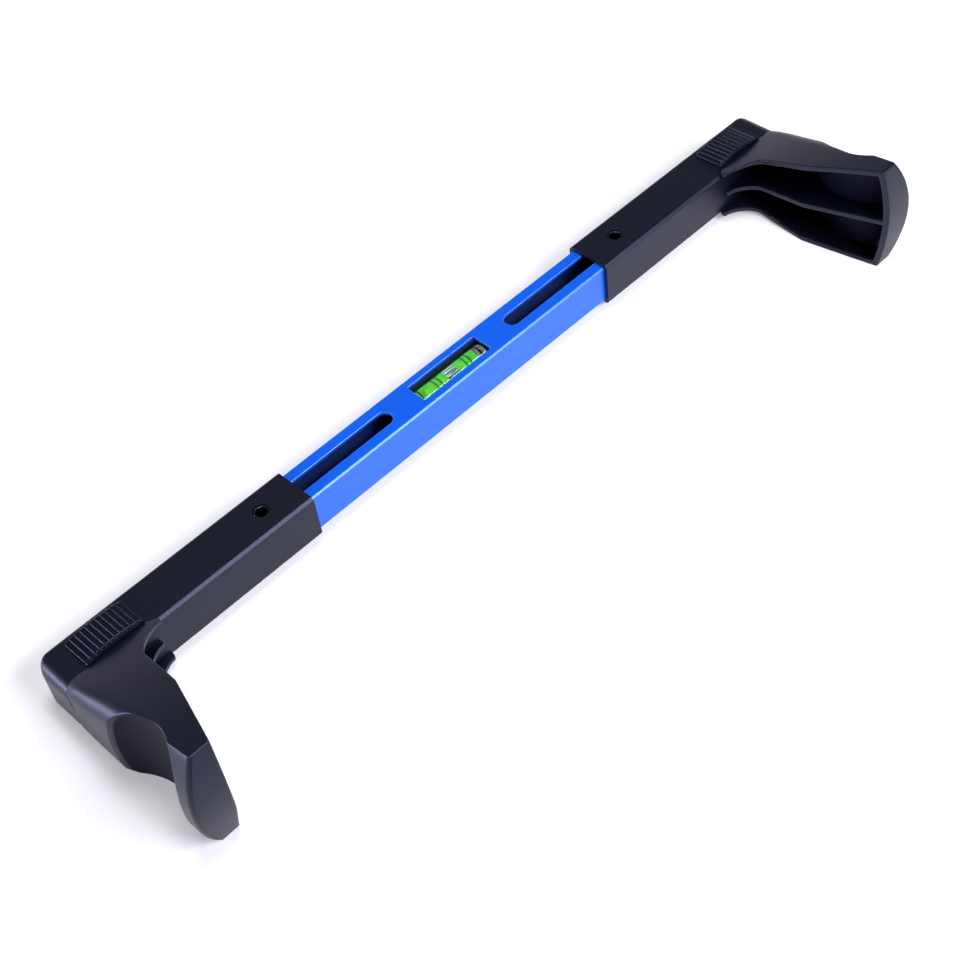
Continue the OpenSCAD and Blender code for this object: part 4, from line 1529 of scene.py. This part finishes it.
class StageSettings(bpy.types.PropertyGroup):
    floor_slope: bpy.props.FloatProperty(
        name="Floor slope", description="Slope of the floor that the level lies on",
        default=math.radians(8.9), subtype="ANGLE",
    )
    floor_radius: length("Floor radius", 2.4, "Radius of the flat part of the floor")
    rim_width: length("Rim width", 0.5, "Width of the floor's swept-up rim")
    rim_height: length("Rim height", 0.76, "Height of the rim's edge over the level's middle")
    near_lift: bpy.props.FloatProperty(
        name="Near lift", description="Glow of the paper beside the level, where 1 is white",
        default=0.30, min=0.0, max=1.0,
    )
    paper: colour("Paper", "#EAEAEC", "Colour of the studio paper")
    lens: bpy.props.FloatProperty(
        name="Lens", description="Focal length for a 36 mm sensor, in millimetres",
        default=63.736, min=1.0,
    )


class LEVEL_OT_stage(bpy.types.Operator):
    """Sets the floor, the lamps, the world and the camera"""

    bl_idname = "wheel_level.stage"
    bl_label = "Build Stage"

    def execute(self, context):
        stage = context.scene.level_stage
        self.build_floor(stage)
        self.build_lamps()
        self.build_camera(context, stage)
        context.scene.view_settings.view_transform = "Standard"
        return {"FINISHED"}

    def build_floor(self, stage):
        """A wide floor with a rim swept up to one level all round. The level lies on its
        hooks' lower tips and on the sleeves' lower back edges, so the floor slopes up to the
        back."""
        rest = Vector((0, FACE, -FACE))
        take(None)
        bpy.ops.mesh.primitive_circle_add(
            vertices=96, radius=stage.floor_radius, location=rest,
            rotation=(stage.floor_slope, 0, 0),
        )
        floor = started("studio_floor")
        edit(floor, "VERT", everywhere)
        bpy.ops.mesh.edge_face_add()
        bpy.ops.mesh.select_all(action="SELECT")
        steps, wide = 10, stage.rim_width
        for k in range(steps):
            radius = stage.floor_radius + wide * k / steps
            bpy.ops.mesh.extrude_region_move()
            scale = (radius + wide / steps) / radius
            bpy.ops.transform.resize(value=(scale, scale, scale), center_override=rest)
        bpy.ops.mesh.delete(type="ONLY_FACE")
        bpy.ops.object.mode_set(mode="OBJECT")
        edge = stage.floor_radius * 1.001
        fill_loop(floor, lambda p: (p - rest).length < edge)
        for vertex in floor.data.vertices:
            share = ((vertex.co - rest).length - stage.floor_radius) / wide
            vertex.co.z = between(vertex.co.z, stage.rim_height, max(share, 0) ** 2)
        smooth(floor, 60)
        paper = studio_paper("matt_studio_paper", hex_of(stage.paper), stage.near_lift, 0.8)
        floor.data.materials.append(paper)
        floor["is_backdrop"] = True

    def build_lamps(self):
        """Plain soft light: a lamp overhead, a long one in front that draws the front
        edges, and a low one at the left back that draws the rounded ends. The air is pale
        near the horizon and dim above, so that flat black tops look black."""
        # Each lamp's name, place in metres, width, height, watts and colour
        lamps = [
            ("overhead_softbox", (0.1, 0.05, 1.4), 0.45, 0.45, 8.5, "#FFFFFF"),
            ("front_softbox", (0.32, -1.0, 0.85), 0.9, 0.42, 18.0, "#F4F2FF"),
            ("left_back_strip", (-1.25, 0.75, 0.2), 1.1, 0.38, 26.0, "#E4E2FC"),
        ]
        for name, place, wide, tall, power, code in lamps:
            lamp = bpy.data.lights.new(name, "AREA")
            lamp.shape = "RECTANGLE"
            lamp.size = wide
            lamp.size_y = tall
            lamp.energy = power
            lamp.color = linear(code)[:3]
            holder = bpy.data.objects.new(name, lamp)
            bpy.context.scene.collection.objects.link(holder)
            holder.location = place
            aim = Vector((0, -0.03, 0)) - Vector(place)
            holder.rotation_euler = aim.to_track_quat("-Z", "Y").to_euler()
            holder.visible_camera = False
        world = bpy.data.worlds.new("studio_air")
        world.use_nodes = True
        tree = world.node_tree
        tree.nodes.clear()
        sky = add_node(tree, "ShaderNodeTexCoord")
        way = add_node(tree, "ShaderNodeSeparateXYZ", {0: sky.outputs["Generated"]})
        height = add_node(
            tree, "ShaderNodeMapRange",
            {"Value": way.outputs["Z"], "From Min": 0.1, "From Max": 0.6,
             "To Min": 0.7, "To Max": 0.12},
        )
        left = add_node(
            tree, "ShaderNodeMapRange",
            {"Value": way.outputs["X"], "From Min": -0.7, "From Max": -0.2,
             "To Min": 0.25, "To Max": 1.0},
        )
        both = add_node(
            tree, "ShaderNodeMath", {0: height.outputs[0], 1: left.outputs[0]},
            operation="MULTIPLY",
        )
        air = add_node(
            tree, "ShaderNodeBackground",
            {"Color": linear("#E2E4F4"), "Strength": both.outputs[0]},
        )
        add_node(tree, "ShaderNodeOutputWorld", {"Surface": air.outputs[0]})
        bpy.context.scene.world = world

    def build_camera(self, context, stage):
        """The photograph's view, solved from the bar's and the handles' outlines."""
        azimuth, height, roll = (math.radians(a) for a in (-38.724, 47.931, -8.944))
        back = Vector((math.sin(azimuth) * math.cos(height),
                       -math.cos(azimuth) * math.cos(height), math.sin(height)))
        right = Vector((math.cos(azimuth), math.sin(azimuth), 0))
        up = back.cross(right)
        right, up = (math.cos(roll) * right + math.sin(roll) * up,
                     math.cos(roll) * up - math.sin(roll) * right)
        aside, below, away = 12.64 * MM, 43.537 * MM, 766.907 * MM
        place = right * aside - up * below + back * away
        turn = Matrix((right, up, back)).transposed().to_4x4()
        data = bpy.data.cameras.new("photo_camera")
        data.lens = stage.lens
        data.sensor_width = 36.0
        data.clip_start = 0.01
        camera = bpy.data.objects.new("photo_camera", data)
        context.scene.collection.objects.link(camera)
        camera.matrix_world = Matrix.Translation(place) @ turn
        context.scene.camera = camera


class LEVEL_PT_panel(bpy.types.Panel):
    """Lists the level's pieces in the sidebar"""

    bl_idname = "LEVEL_PT_panel"
    bl_label = "Wheel Level"
    bl_space_type = "VIEW_3D"
    bl_region_type = "UI"
    bl_category = "Wheel Level"

    def draw(self, context):
        for operator in BUILD_ORDER:
            self.layout.operator(operator.bl_idname)


SETTINGS = {
    "level_stage": StageSettings,
    "level_bar": BarSettings,
    "level_handles": HandleSettings,
    "level_hooks": HookSettings,
    "level_pads": PadSettings,
    "level_vial": VialSettings,
}
BUILD_ORDER = (
    LEVEL_OT_stage, LEVEL_OT_bar, LEVEL_OT_inner_parts, LEVEL_OT_sleeves, LEVEL_OT_hooks,
    LEVEL_OT_pads, LEVEL_OT_pins, LEVEL_OT_vial,
)


def register():
    for group in SETTINGS.values():
        bpy.utils.register_class(group)
    for operator in BUILD_ORDER:
        bpy.utils.register_class(operator)
    bpy.utils.register_class(LEVEL_PT_panel)
    for name, group in SETTINGS.items():
        setattr(bpy.types.Scene, name, bpy.props.PointerProperty(type=group))


def unregister():
    for name in SETTINGS:
        delattr(bpy.types.Scene, name)
    bpy.utils.unregister_class(LEVEL_PT_panel)
    for operator in reversed(BUILD_ORDER):
        bpy.utils.unregister_class(operator)
    for group in reversed(list(SETTINGS.values())):
        bpy.utils.unregister_class(group)


def main():
    register()
    bpy.ops.wheel_level.stage()
    bpy.ops.wheel_level.bar()
    bpy.ops.wheel_level.inner_parts()
    bpy.ops.wheel_level.sleeves()
    bpy.ops.wheel_level.hooks()
    bpy.ops.wheel_level.pads()
    bpy.ops.wheel_level.pins()
    bpy.ops.wheel_level.vial()
    boxes = {"cad": CAD_BOX, "visual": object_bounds()}
    plain = {name: [list(corner) for corner in box] for name, box in boxes.items()}


if __name__ == "__main__":
    main()
